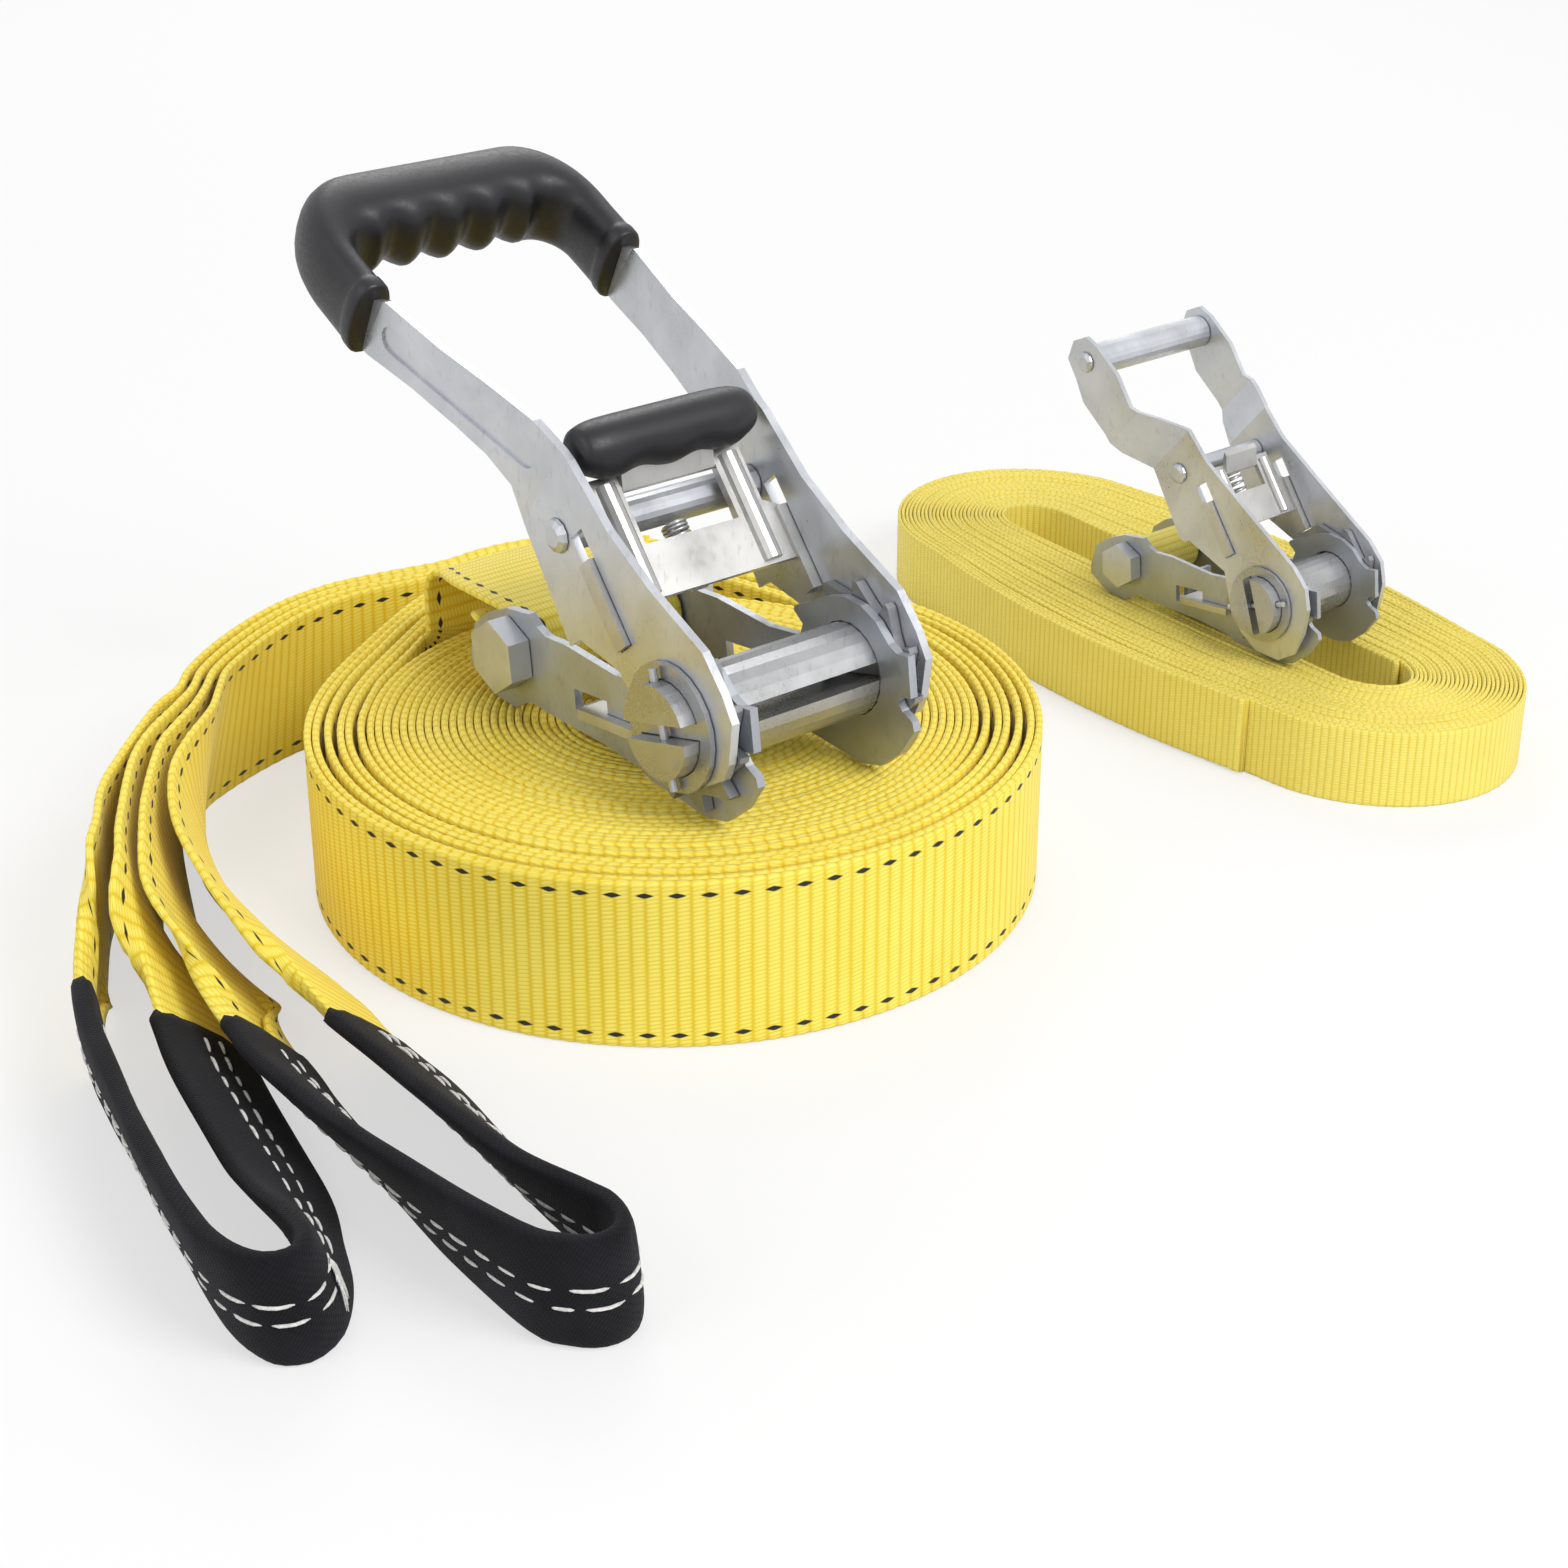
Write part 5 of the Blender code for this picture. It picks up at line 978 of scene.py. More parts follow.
def sleeve(name, node, places, ups, shares):
    """The sleeve over the stations where the band is folded; gives the stations' directions back."""
    inside = [i for i, share in enumerate(shares) if share > FULL_FOLD]
    places, ups = np.array([tuple(p) for p in places]), np.array([tuple(u) for u in ups])
    ahead = np.gradient(places, axis=0)
    ahead /= np.linalg.norm(ahead, axis=1)[:, None]
    side = np.cross(ahead, ups)
    side /= np.linalg.norm(side, axis=1)[:, None]
    places, ups, ahead, side = (values[inside[0]:inside[-1] + 1] for values in (places, ups, ahead, side))
    along = run_lengths(places)
    half_tall, half_thick = EYE_WIDTH / 2.0 + SLEEVE_GAP, EYE_THICKNESS / 2.0 + SLEEVE_GAP
    points = [sleeve_rings(sleeve_section(half_tall + wall, half_thick + wall), wall > 0.0,
                           places, ups, ahead, side, along) for wall in (SLEEVE_WALL, 0.0)]
    lining = sleeve_section(half_tall, half_thick)
    girth = run_lengths(np.concatenate([lining, lining[:1]]))
    faces = sleeve_faces(len(places))
    piece = skinned(name, np.concatenate(points).tolist(), faces.tolist(), SLEEVE_CLOTH,
                    sleeve_weave(faces, along, girth))
    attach(piece, WEBBING_BODY)
    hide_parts(node)
    print(name, "runs", round(float(along[-1]) / MM), "mm over the eye")
    return places, ups, ahead, side, along


line_sleeve_frame = sleeve("line_sleeve", "main_line_sleeve", end_places, end_ups, end_shares)
strap_sleeve_frame = sleeve("strap_sleeve", "ratchet_strap_sleeve", strap_places, strap_ups, strap_shares)

# %% [markdown]
# Stitches, loose threads and springs are all thin round tubes along a route. A curve with a round bevel
# would do for one of them. A seam has a hundred, so one helper makes many short tubes as a single mesh,
# and carries its ring from place to place without twisting.

# %% Round tubes
TUBE_TIP = 0.6


def tube_rings(route, radius, sides):
    """Rings round a route, a little thinner at both tips."""
    points, one = [], None
    last = len(route) - 1
    for i, place in enumerate(route):
        ahead = (route[min(i + 1, last)] - route[max(i - 1, 0)]).normalized()
        one = ahead.orthogonal() if one is None else one - ahead * one.dot(ahead)
        one.normalize()
        two = ahead.cross(one)
        reach = radius * (TUBE_TIP if i in (0, last) else 1.0)
        for k in range(sides):
            angle = 2.0 * math.pi * k / sides
            points.append(place + (one * math.cos(angle) + two * math.sin(angle)) * reach)
    return points


def tubes(name, routes, radius, material, sides):
    """Many short tubes as one piece, each closed with a cap at both ends."""
    points, faces = [], []
    for route in routes:
        faces += skin_faces(len(route), sides, len(points), reverse=True)
        points += tube_rings([Vector(tuple(p)) for p in route], radius, sides)
    return skinned(name, [tuple(p) for p in points], faces, material)


print("tubes taper to", round(TUBE_TIP * 100.0), "% at their tips")

# %% [markdown]
# Two rows of white stitches run along the middle of each sleeve's faces. A stitch is a short bent tube
# whose ends dip into the cloth, which catches light as thread does; a painted dash would look flat.
# Lengths and gaps repeat in cycles of seven and five, so no two stretches of the seam look alike.

# %% Stitches
STITCH_ROW = 2.65 * MM
STITCH_RADIUS = 0.48 * MM
STITCH_SIDES = 6
STITCH_LENGTHS = (6.4, 7.5, 5.6, 7.0, 8.2, 6.0, 6.8)
STITCH_GAPS = (1.6, 2.2, 1.4, 2.6, 1.8)
STITCH_HEIGHTS = (-0.35, 0.0, 0.12, 0.12, 0.0, -0.35)
STITCH_SINK = 0.28 * MM
STITCH_STRAY = 0.25 * MM
SEAM_START = 3.0 * MM
SEAM_LAG = 2.0 * MM
SEAM_END = 9.0 * MM
SLEEVE_PROUD = EYE_THICKNESS / 2.0 + SLEEVE_GAP + SLEEVE_WALL


def seam(sleeve_frame, face, number):
    """The stitches of one row on one face of a sleeve."""
    places, ups, _, side, along = sleeve_frame

    def spot(run, across, out):
        place, up, off = (np.array([np.interp(run, along, field[:, k]) for k in range(3)])
                          for field in (places, ups, side))
        return place + up * across + off * out

    routes = []
    row = STITCH_ROW * (1.0 if number else -1.0)
    run = SEAM_START + number * SEAM_LAG
    index = number * 3 + (2 if face > 0.0 else 0)
    last = len(STITCH_HEIGHTS) - 1
    while run < along[-1] - SEAM_END:
        length = STITCH_LENGTHS[index % len(STITCH_LENGTHS)] * MM
        across = row + STITCH_STRAY * math.sin(1.9 * index)
        out = [face * (SLEEVE_PROUD + height * MM - STITCH_SINK) for height in STITCH_HEIGHTS]
        routes.append([spot(run + length * i / last, across, out[i]) for i in range(last + 1)])
        run += length + STITCH_GAPS[index % len(STITCH_GAPS)] * MM
        index += 1
    return routes


def stitched_rows(name, sleeve_frame):
    """Both rows of stitches on both faces of a sleeve."""
    routes = sum((seam(sleeve_frame, face, number) for face in (-1.0, 1.0) for number in (0, 1)), [])
    piece = tubes(name, routes, STITCH_RADIUS, WHITE_THREAD, STITCH_SIDES)
    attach(piece, WEBBING_BODY)
    print(name, len(routes), "stitches")


stitched_rows("line_eye_stitches", line_sleeve_frame)
stitched_rows("strap_eye_stitches", strap_sleeve_frame)

# %% [markdown]
# One seam ends in a frayed tail on the nose of the line's eye: a few fine threads that fan out and hang
# down over the sleeve. Each is a tube of its own, with a length and a sway from its number, because a
# tuft made alike from end to end would read as a brush.

# %% Frayed threads
FRAY_SHARE = 0.425
FRAY_THREADS = 15
FRAY_STEPS = 6
FRAY_SIDES = 5
FRAY_RADIUS = 0.20 * MM
FRAY_LENGTH = 13.0 * MM
FRAY_SPREAD = 2.4 * MM
FRAY_SWAY = 0.8 * MM
FRAY_LIFT = 0.5 * MM


def frayed_threads(name, sleeve_frame):
    """The frayed tail of a seam: fine threads that hang down the outside of an eye's nose."""
    places, ups, ahead, side, _ = sleeve_frame
    k = int(round(FRAY_SHARE * (len(places) - 1)))
    out = side[k] * math.copysign(1.0, float(np.dot(side[k], places[k] - places.mean(axis=0))))
    routes = []
    for number in range(FRAY_THREADS):
        spread = (number / (FRAY_THREADS - 1) - 0.5) * 2.0
        length = FRAY_LENGTH * (0.65 + 0.35 * math.cos(2.3 * number))
        bow = FRAY_LIFT * (1.0 + 0.4 * math.sin(3.1 * number))
        route = []
        for step in range(FRAY_STEPS + 1):
            run = step / FRAY_STEPS
            sway = FRAY_SWAY * math.sin(2.2 * run + 1.7 * number) * run
            route.append(places[k] + ups[k] * (STITCH_ROW * 1.2 - length * run)
                         + ahead[k] * (spread * FRAY_SPREAD * (0.35 + run) + sway)
                         + out * (SLEEVE_PROUD + FRAY_RADIUS + bow * math.sin(math.pi * run)))
        routes.append(route)
    piece = tubes(name, routes, FRAY_RADIUS, WHITE_THREAD, FRAY_SIDES)
    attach(piece, WEBBING_BODY)
    print(name, len(routes), "threads")


frayed_threads("frayed_seam_threads", line_sleeve_frame)

# %% [markdown]
# The narrow line is wound into a long oval, 28 layers thick. Its turns are straighter along the sides
# and tight at the ends. A round spiral scaled to an oval would part its turns more at the ends than at
# the sides, so the path is an oval whose ends and sides grow at their own rates.

# %% The oval of the hank
NARROW_WIDTH = 25.0 * MM
HANK_LOOPS = 14
HANK_HALF_LENGTH = 133.5 * MM
HANK_HALF_WIDTH = 57.5 * MM
HANK_END_DEPTH = 55.5 * MM
HANK_END_HALF_WIDTH = 49.5 * MM
HANK_SLOT_HALF_WIDTH = 10.5 * MM
HANK_SLOT_DEPTH = 16.5 * MM
HANK_MIDDLE = Vector((171.5, 150.5, 12.5)) * MM
HANK_BEARING = -54.5
HANK_END_STEPS = 8
HANK_SIDE_SHARES = (0.5, 0.0, -0.5)


def hank_outline():
    """One turn as end share, end depth share, width share and swell share."""
    outline = []
    for side in (1.0, -1.0):
        for i in range(HANK_END_STEPS + 1):
            angle = math.pi * (i / HANK_END_STEPS - 0.5)
            outline.append((side, math.cos(angle), side * math.sin(angle), 0.0))
        for share in HANK_SIDE_SHARES:
            outline.append((side * share, 0.0, side, 1.0 - abs(share) ** 2.0))
    return outline


HANK_OUTLINE = hank_outline()
HANK_TURN = Matrix.Rotation(math.radians(HANK_BEARING), 3, "Z")


def hank_place(index, shift):
    """A point of the hank, with a shift outward."""
    end, deep, wide, swollen = HANK_OUTLINE[index % TURN_POINTS]
    grown = index / TURN_POINTS / HANK_LOOPS
    depth = HANK_SLOT_DEPTH + (HANK_END_DEPTH - HANK_SLOT_DEPTH) * grown
    half = HANK_SLOT_HALF_WIDTH + (HANK_END_HALF_WIDTH - HANK_SLOT_HALF_WIDTH) * grown
    swell = (HANK_HALF_WIDTH - HANK_END_HALF_WIDTH) * grown
    along = end * (HANK_HALF_LENGTH - HANK_END_DEPTH) + math.copysign(deep * (depth + shift), end)
    across = wide * (half + shift) + math.copysign(swollen * swell, wide)
    return HANK_MIDDLE + HANK_TURN @ Vector((along, across, 0.0))


print("a turn of the hank has", len(HANK_OUTLINE), "knots")

# %% [markdown]
# As in the wide coil, both strands of the doubled line are one route, in along the oval and out again,
# and each layer settles at its own height. That small unevenness is what makes the top read as webbing
# edges and not as a turned block.

# %% The narrow line's hank
HANK_START_SHARE = 0.30
HANK_LAYER = 1.16 * MM
HANK_STRAND_OFFSET = 0.68 * MM
HANK_STATION = 2.4 * MM
HANK_KNOBS = 0.08 * MM


def hank_strand(shift, strand):
    """One strand of the hank with its small settling."""
    first = int(round(HANK_START_SHARE * TURN_POINTS))
    knots = [tuple(hank_place(i, shift)) for i in range(first, HANK_LOOPS * TURN_POINTS + 1)]
    places = []
    for i, place in enumerate(smooth_route(knots, HANK_STATION)):
        settled = 0.4 + 0.25 * math.sin(0.011 * i + strand) + 0.15 * math.sin(0.047 * i + 2.0 * strand)
        places.append(Vector(tuple(place)) + UP * (settled * MM) + COIL_MIDDLE)
    return places


hank_route = hank_strand(HANK_STRAND_OFFSET, 0.0)[::-1] + hank_strand(-HANK_STRAND_OFFSET, 2.0)
hank_route = evenly(hank_route, HANK_STATION)
narrow_hank, hank_length = band_mesh("narrow_hank", hank_route, [UP] * len(hank_route), NARROW_WIDTH,
                                     HANK_LAYER, NARROW_WEBBING, knobs=HANK_KNOBS)
webbing_piece(narrow_hank, hank_length, "teaching_line_coil")

# %% [markdown]
# The short strap on the small ratchet goes round its anchor sleeve, hangs down beside the hank and turns
# on edge into the slot of the oval. A cloth simulation might let it slip off, so its route repeats the
# solid's: each row is a place in shares of the anchor sleeve's radius and the turn of the band's width in
# degrees.

# %% The small ratchet's strap
SMALL_PLACE = Vector((198.9, 99.7, 0.0)) * MM
SMALL_TURN_MATRIX = Matrix.Rotation(math.radians(39.4), 3, "Z")
SMALL_FRAME = 63.7 * MM
SMALL_SLEEVE_RADIUS = 5.6 * MM
SMALL_STRAP_THICKNESS = 1.4 * MM
SMALL_STRAP_LAYER = 1.25 * MM
SMALL_STRAP_STATION = 1.5 * MM
SMALL_WRAP = (-120.0, -240.0, 9)
STUB_SHARES = (
    (0.00, 1.50, -0.30, 6.0), (0.02, 1.85, -0.75, 22.0), (0.10, 1.95, -1.25, 42.0),
    (0.40, 1.95, -1.75, 62.0), (0.95, 1.92, -2.20, 78.0), (1.45, 1.88, -2.75, 88.0),
    (1.80, 1.85, -3.50, 90.0), (1.90, 1.85, -5.75, 90.0),
)


def stub_route():
    """Places and width directions of the short strap."""
    anchor = anchor_place("small_end_disc_near", SMALL_PLACE, SMALL_TURN_MATRIX, SMALL_FRAME)
    wrap = SMALL_SLEEVE_RADIUS + SLIDING_GAP + SMALL_STRAP_THICKNESS / 2.0
    knots = [(place, Vector((1.0, 0.0, 0.0))) for place in wrapped(wrap, *SMALL_WRAP)]
    knots += [(Vector((x, y, z)) * SMALL_SLEEVE_RADIUS, polar(1.0, spin)) for x, y, z, spin in STUB_SHARES]
    return [tuple(anchor + SMALL_TURN_MATRIX @ place + COIL_MIDDLE) + tuple(SMALL_TURN_MATRIX @ up)
            for place, up in knots]


stub = smooth_route(stub_route(), SMALL_STRAP_STATION)
small_strap, small_strap_length = band_mesh("small_ratchet_webbing", [p[:3] for p in stub],
                                            [p[3:] for p in stub], NARROW_WIDTH, SMALL_STRAP_LAYER,
                                            NARROW_WEBBING)
webbing_piece(small_strap, small_strap_length, "teaching_strap")

# %% [markdown]
# The long lever has two rubber parts, swept in the lever's own directions. In the editor an empty at its
# axis would give these. Here they are one matrix, from the axis, the bearing and how far the lever is
# lifted, and a helper gives any solid's points as the lever sees them. The rubber is satin black with a
# fine grain and paler worn crests.

# %% The lever's directions and its rubber
MAIN_LIFT = 36.9
RUBBER_BLACK = (0.0065, 0.0065, 0.0090, 1.0)
RUBBER_WORN = (0.0240, 0.0240, 0.0290, 1.0)
RUBBER_SEGMENTS = 28

lever = (Matrix.Translation(spool_axis("main_end_disc_near", MAIN_PLACE) + COIL_MIDDLE)
         @ Matrix.Rotation(math.radians(MAIN_BEARING), 4, "Z")
         @ Matrix.Rotation(math.radians(MAIN_LIFT), 4, "X"))


def lever_points(node):
    """The points of a solid in the lever's directions at rest: X across, Y along the arms."""
    solid = frame["nodes"][node]
    into_lever = lever.inverted()
    return np.array([tuple(into_lever @ (solid.matrix_world @ vert.co)) for vert in solid.data.vertices])


def rubber_material():
    """Satin black rubber with a fine grain and paler worn crests."""
    recipe = Recipe("black_rubber", rough=0.5, specular=0.45)
    grain = recipe.noise(900.0, 3.0)
    dust = recipe.between(recipe.noise(45.0, 4.0), 0.45, 0.75, 0.0, 0.35)
    recipe.colour(recipe.blend(dust, RUBBER_BLACK, RUBBER_WORN))
    recipe.rough(recipe.between(grain, 0.3, 0.7, 0.36, 0.50))
    recipe.relief(grain, 0.05 * MM, 0.4)
    return recipe.material


def rubber_sweep(name, rings, body, node):
    """A closed smooth skin through matching rings."""
    points = [tuple(p) for ring in rings for p in ring]
    piece = skinned(name, points, skin_faces(len(rings), len(rings[0]), reverse=True), RUBBER)
    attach(piece, body)
    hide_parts(node)
    print(name, len(points), "points")


RUBBER = rubber_material()
print("made", RUBBER.name)

# %% [markdown]
# The grip is a moulded bar with finger waves on its inner side and two legs that slip over the arms and
# end in a collar. A rough box under a Subdivision modifier would lose the collar's edge. Instead one list
# of stations runs from one mouth, up the leg, round the corner and along the bar, close enough together
# to need no subdivision, and the second leg mirrors the first.

# %% Stations of the rubber grip
HANDLE_LENGTH = 190.0 * MM
ARM_THICKNESS = 2.5 * MM
GRIP_CENTRE_SHARES = (0.984, -0.0900)
LEG_START_SHARES = (0.790, -0.0563)
LEG_MIDDLE_SHARES = (0.880, -0.0737)
GRIP_RADIUS = 13.2 * MM
GRIP_LEG_RADIUS = 6.5 * MM
LEG_THICK_SHARE = 0.88
CORNER_THICK_SHARE = 0.90
LEG_TALL_SHARE = 0.90
GRIP_CORNER = 17.0 * MM
CORNER_STEPS = 17
GRIP_WAVE = 2.8 * MM
GRIP_WAVES = 4
WAVE_STEPS = 12
LEG_RUNS = (0.0, 0.4, 1.0, 3.5, 4.6, 5.2, 6.2, 8.0, 10.0, 12.0, 14.0)
MOUTH_ROUND = {0.0: 0.7 * MM, 0.4: 0.25 * MM}
COLLAR_PROUD = 0.5 * MM
COLLAR_FADE = (4.0 * MM, 5.6 * MM)


def grip_leg(middle, start, bend, bar):
    """Stations of one leg and its corner: place, half thickness, half height and no finger dip."""
    stations = []
    for run in LEG_RUNS:
        proud = COLLAR_PROUD * (1.0 - rise(run * MM, *COLLAR_FADE)) - MOUTH_ROUND.get(run, 0.0)
        place = start.lerp(bend, run * MM / (bend - start).length)
        stations.append((Vector((-middle, place.y, place.z)), GRIP_LEG_RADIUS * LEG_THICK_SHARE + proud,
                         GRIP_RADIUS * LEG_TALL_SHARE + proud, 0.0))
    thin = GRIP_LEG_RADIUS * CORNER_THICK_SHARE
    for step in range(1, CORNER_STEPS):
        angle = math.pi / 2.0 * step / CORNER_STEPS
        place = bend.lerp(bar, math.sin(angle))
        grown = rise(step, 0, CORNER_STEPS)
        stations.append((Vector((-middle + GRIP_CORNER * (1.0 - math.cos(angle)), place.y, place.z)),
                         thin + (GRIP_RADIUS - thin) * grown,
                         GRIP_RADIUS * (LEG_TALL_SHARE + (1.0 - LEG_TALL_SHARE) * grown), 0.0))
    return stations


def grip_bar(half_length, bar):
    """Stations of the bar between the corners, with a dip for each finger."""
    count = GRIP_WAVES * WAVE_STEPS
    stations = []
    for step in range(count + 1):
        share = step / count
        dip = GRIP_WAVE * 0.5 * (1.0 - math.cos(2.0 * math.pi * GRIP_WAVES * share))
        place = Vector((-half_length + 2.0 * half_length * share, bar.y, bar.z))
        stations.append((place, GRIP_RADIUS, GRIP_RADIUS, dip))
    return stations


arm_middle = lever_points("main_handle_arm_far")[:, 0].max() - ARM_THICKNESS / 2.0
leg_start, leg_bend, bar_centre = (Vector((0.0, y, z)) * HANDLE_LENGTH
                                   for y, z in (LEG_START_SHARES, LEG_MIDDLE_SHARES, GRIP_CENTRE_SHARES))
leg = grip_leg(arm_middle, leg_start, leg_bend, bar_centre)
grip_stations = leg + grip_bar(arm_middle - GRIP_CORNER, bar_centre)
grip_stations += [(Vector((-p.x, p.y, p.z)), thick, tall, dip) for p, thick, tall, dip in leg[::-1]]
print("the grip has", len(grip_stations), "stations")

# %% [markdown]
# At each station a ring of points is laid round the route, a little squarer than a circle. The dip of a
# finger presses in only the ring's inner side, so the back of the grip stays straight, as on the real
# moulding.

# %% The rubber grip
GRIP_SQUARENESS = 0.8
DIP_TOWARD = (0.85, 0.5)
DIP_SOFTNESS = 0.7

grip_normal = (bar_centre - leg_start).cross(Vector((1.0, 0.0, 0.0))).normalized()
grip_normal = grip_normal * math.copysign(1.0, grip_normal.z)


def grip_ring(place, inward, half_thick, half_tall, dip):
    """One rounded section, pressed in by a finger's dip."""
    ring = []
    for k in range(RUBBER_SEGMENTS):
        angle = 2.0 * math.pi * k / RUBBER_SEGMENTS
        u, v = math.cos(angle), math.sin(angle)
        pressed = dip * max(0.0, -DIP_TOWARD[0] * u - DIP_TOWARD[1] * v) ** DIP_SOFTNESS
        u, v = (math.copysign(abs(w) ** GRIP_SQUARENESS, w) for w in (u, v))
        ring.append(lever @ (place + inward * u * (half_thick - pressed)
                             + grip_normal * v * (half_tall - pressed)))
    return ring


grip_rings = []
for i, (place, half_thick, half_tall, dip) in enumerate(grip_stations):
    after = grip_stations[min(i + 1, len(grip_stations) - 1)][0]
    ahead = (after - grip_stations[max(i - 1, 0)][0]).normalized()
    inward = grip_normal.cross(ahead).normalized()
    grip_rings.append(grip_ring(place, inward, half_thick, half_tall, dip))
rubber_sweep("rubber_grip", grip_rings, "main_handle", "main_handle_grip")

# %% [markdown]
# The finger pull is a short bar on the turned-up end of the drive pawl, with the same waves and narrower
# ends. A cylinder with a displacement would do, but rings are quicker to shape, as the grip shows. The
# solid gives the place and length: the middle of its points and their reach across the lever.

# %% Finger pull
PULL_RADIUS = 8.5 * MM
PULL_SQUEEZE = 0.28
PULL_SQUEEZE_POWER = 8
PULL_WAVE = 1.5 * MM
PULL_WAVES = 3
PULL_STEPS = 56
PULL_ROUND = 0.8 * MM
PULL_END_DEPTH = 0.5 * MM


def finger_pull():
    """The pull's rings, in the lever's directions."""
    points = lever_points("main_finger_pull")
    low, high = points.min(axis=0), points.max(axis=0)
    half_length = (high[0] - low[0]) / 2.0
    end = points[points[:, 0] > high[0] - PULL_END_DEPTH]
    middle = Vector((0.0, float(end[:, 1].mean()), float(end[:, 2].mean())))
    rings = []
    for step in range(PULL_STEPS + 1):
        share = -1.0 + 2.0 * step / PULL_STEPS
        radius = PULL_RADIUS * (1.0 - PULL_SQUEEZE * abs(share) ** PULL_SQUEEZE_POWER)
        radius -= PULL_ROUND if step in (0, PULL_STEPS) else 0.0
        dip = PULL_WAVE * 0.5 * (1.0 + math.cos(math.pi * (share + 1.0) * PULL_WAVES))
        ring = []
        for k in range(RUBBER_SEGMENTS):
            angle = 2.0 * math.pi * k / RUBBER_SEGMENTS
            y, z = radius * math.cos(angle), radius * math.sin(angle)
            shrink = 1.0 - max(0.0, -(y * 0.8 + z * 0.6) / radius) * dip / radius
            ring.append(lever @ (middle + Vector((share * half_length, y * shrink, z * shrink))))
        rings.append(ring)
    return rings


rubber_sweep("rubber_finger_pull", finger_pull(), "main_drive", "main_finger_pull")

# %% [markdown]
# All the metal is steel with a thin coat of zinc. Seven materials wired one by one would drift apart, so
# one recipe with a few numbers makes every finish: a clouded coat, fine scratches along the part and a
# slightly uneven gloss. Each row has the shade, the roughness, the size of the grain, the strength of the
# scratches, a tint and how clouded it is.

# %% Steel finishes
PLATING_LOOKS = {
    "lever_zinc": (0.58, 0.33, 420.0, 0.30, (0.95, 0.98, 1.04), 0.10),
    "frame_zinc": (0.44, 0.42, 420.0, 0.35, (0.93, 0.98, 1.06), 0.10),
    "shaft_steel": (0.42, 0.30, 800.0, 0.40, (0.99, 1.0, 1.01), 0.10),
    "wheel_zinc": (0.33, 0.38, 420.0, 0.40, (0.97, 0.99, 1.03), 0.12),
    "pawl_zinc": (0.50, 0.36, 420.0, 0.40, (1.0, 0.99, 0.96), 0.12),
    "bolt_zinc": (0.54, 0.36, 600.0, 0.20, (0.96, 0.99, 1.05), 0.10),
    "spring_steel": (0.50, 0.30, 700.0, 0.20, (1.0, 1.0, 1.0), 0.10),
}
METALLIC = 0.72
SCRATCH_SCALE = (900.0, 140.0, 260.0)
SCRATCH_SHADE = 0.62


def metal(name, shade, rough, grain, scratches, tint, blotch):
    """Zinc-plated steel from a few numbers."""
    recipe = Recipe(name, metal=METALLIC, rough=rough)
    cloud = recipe.noise(55.0, 5.0)
    fine = recipe.noise(grain, 3.0)
    lines = recipe.noise(1.0, 2.0, recipe.stretched(recipe.solid_place(), SCRATCH_SCALE))
    light = tuple(min(1.0, shade * t * (1.0 + blotch)) for t in tint) + (1.0,)
    dark = tuple(shade * t * (1.0 - blotch) for t in tint) + (1.0,)
    plating = recipe.blend(recipe.between(cloud, 0.35, 0.65), dark, light)
    marks = recipe.between(lines, 0.60, 0.72, 0.0, scratches)
    recipe.colour(recipe.blend(marks, plating, tuple(shade * SCRATCH_SHADE * t for t in tint) + (1.0,)))
    recipe.rough(recipe.sum("ADD", recipe.between(cloud, 0.3, 0.7, rough - 0.07, rough + 0.08),
                            recipe.between(fine, 0.3, 0.7, -0.04, 0.05)))
    recipe.relief(recipe.sum("ADD", fine, recipe.sum("MULTIPLY", lines, 0.6)), 0.015 * MM, 0.25)
    return recipe.material


PLATINGS = {name: metal(name, *looks) for name, looks in PLATING_LOOKS.items()}
print("made", len(PLATINGS), "steel finishes")

# %% [markdown]
# Springs are wire wound on a helix. The Screw modifier winds one too, but its end turns stay open. Each
# solid is a coarse helix, so its own points give the radius and both ends, the joint of its slide gives
# the axis, and a finer helix with closed end turns takes its place. Each row has the turns, the travel of
# the slide and the body that the spring rides on.

# %% Springs
SPRINGS = {
    "main_lock_spring": (7, 5.0 * MM, WEBBING_BODY),
    "small_lock_spring": (6, 3.5 * MM, WEBBING_BODY),
    "main_drive_spring": (11, 8.0 * MM, "main_handle"),
    "small_drive_spring": (9, 6.0 * MM, "small_handle"),
}
SPRING_WIRE_SHARE = 0.13
SPRING_CLOSING = 0.5
SPRING_SIDES = 8
TURN_STEPS = 20
REACH_PERCENTILE = 97


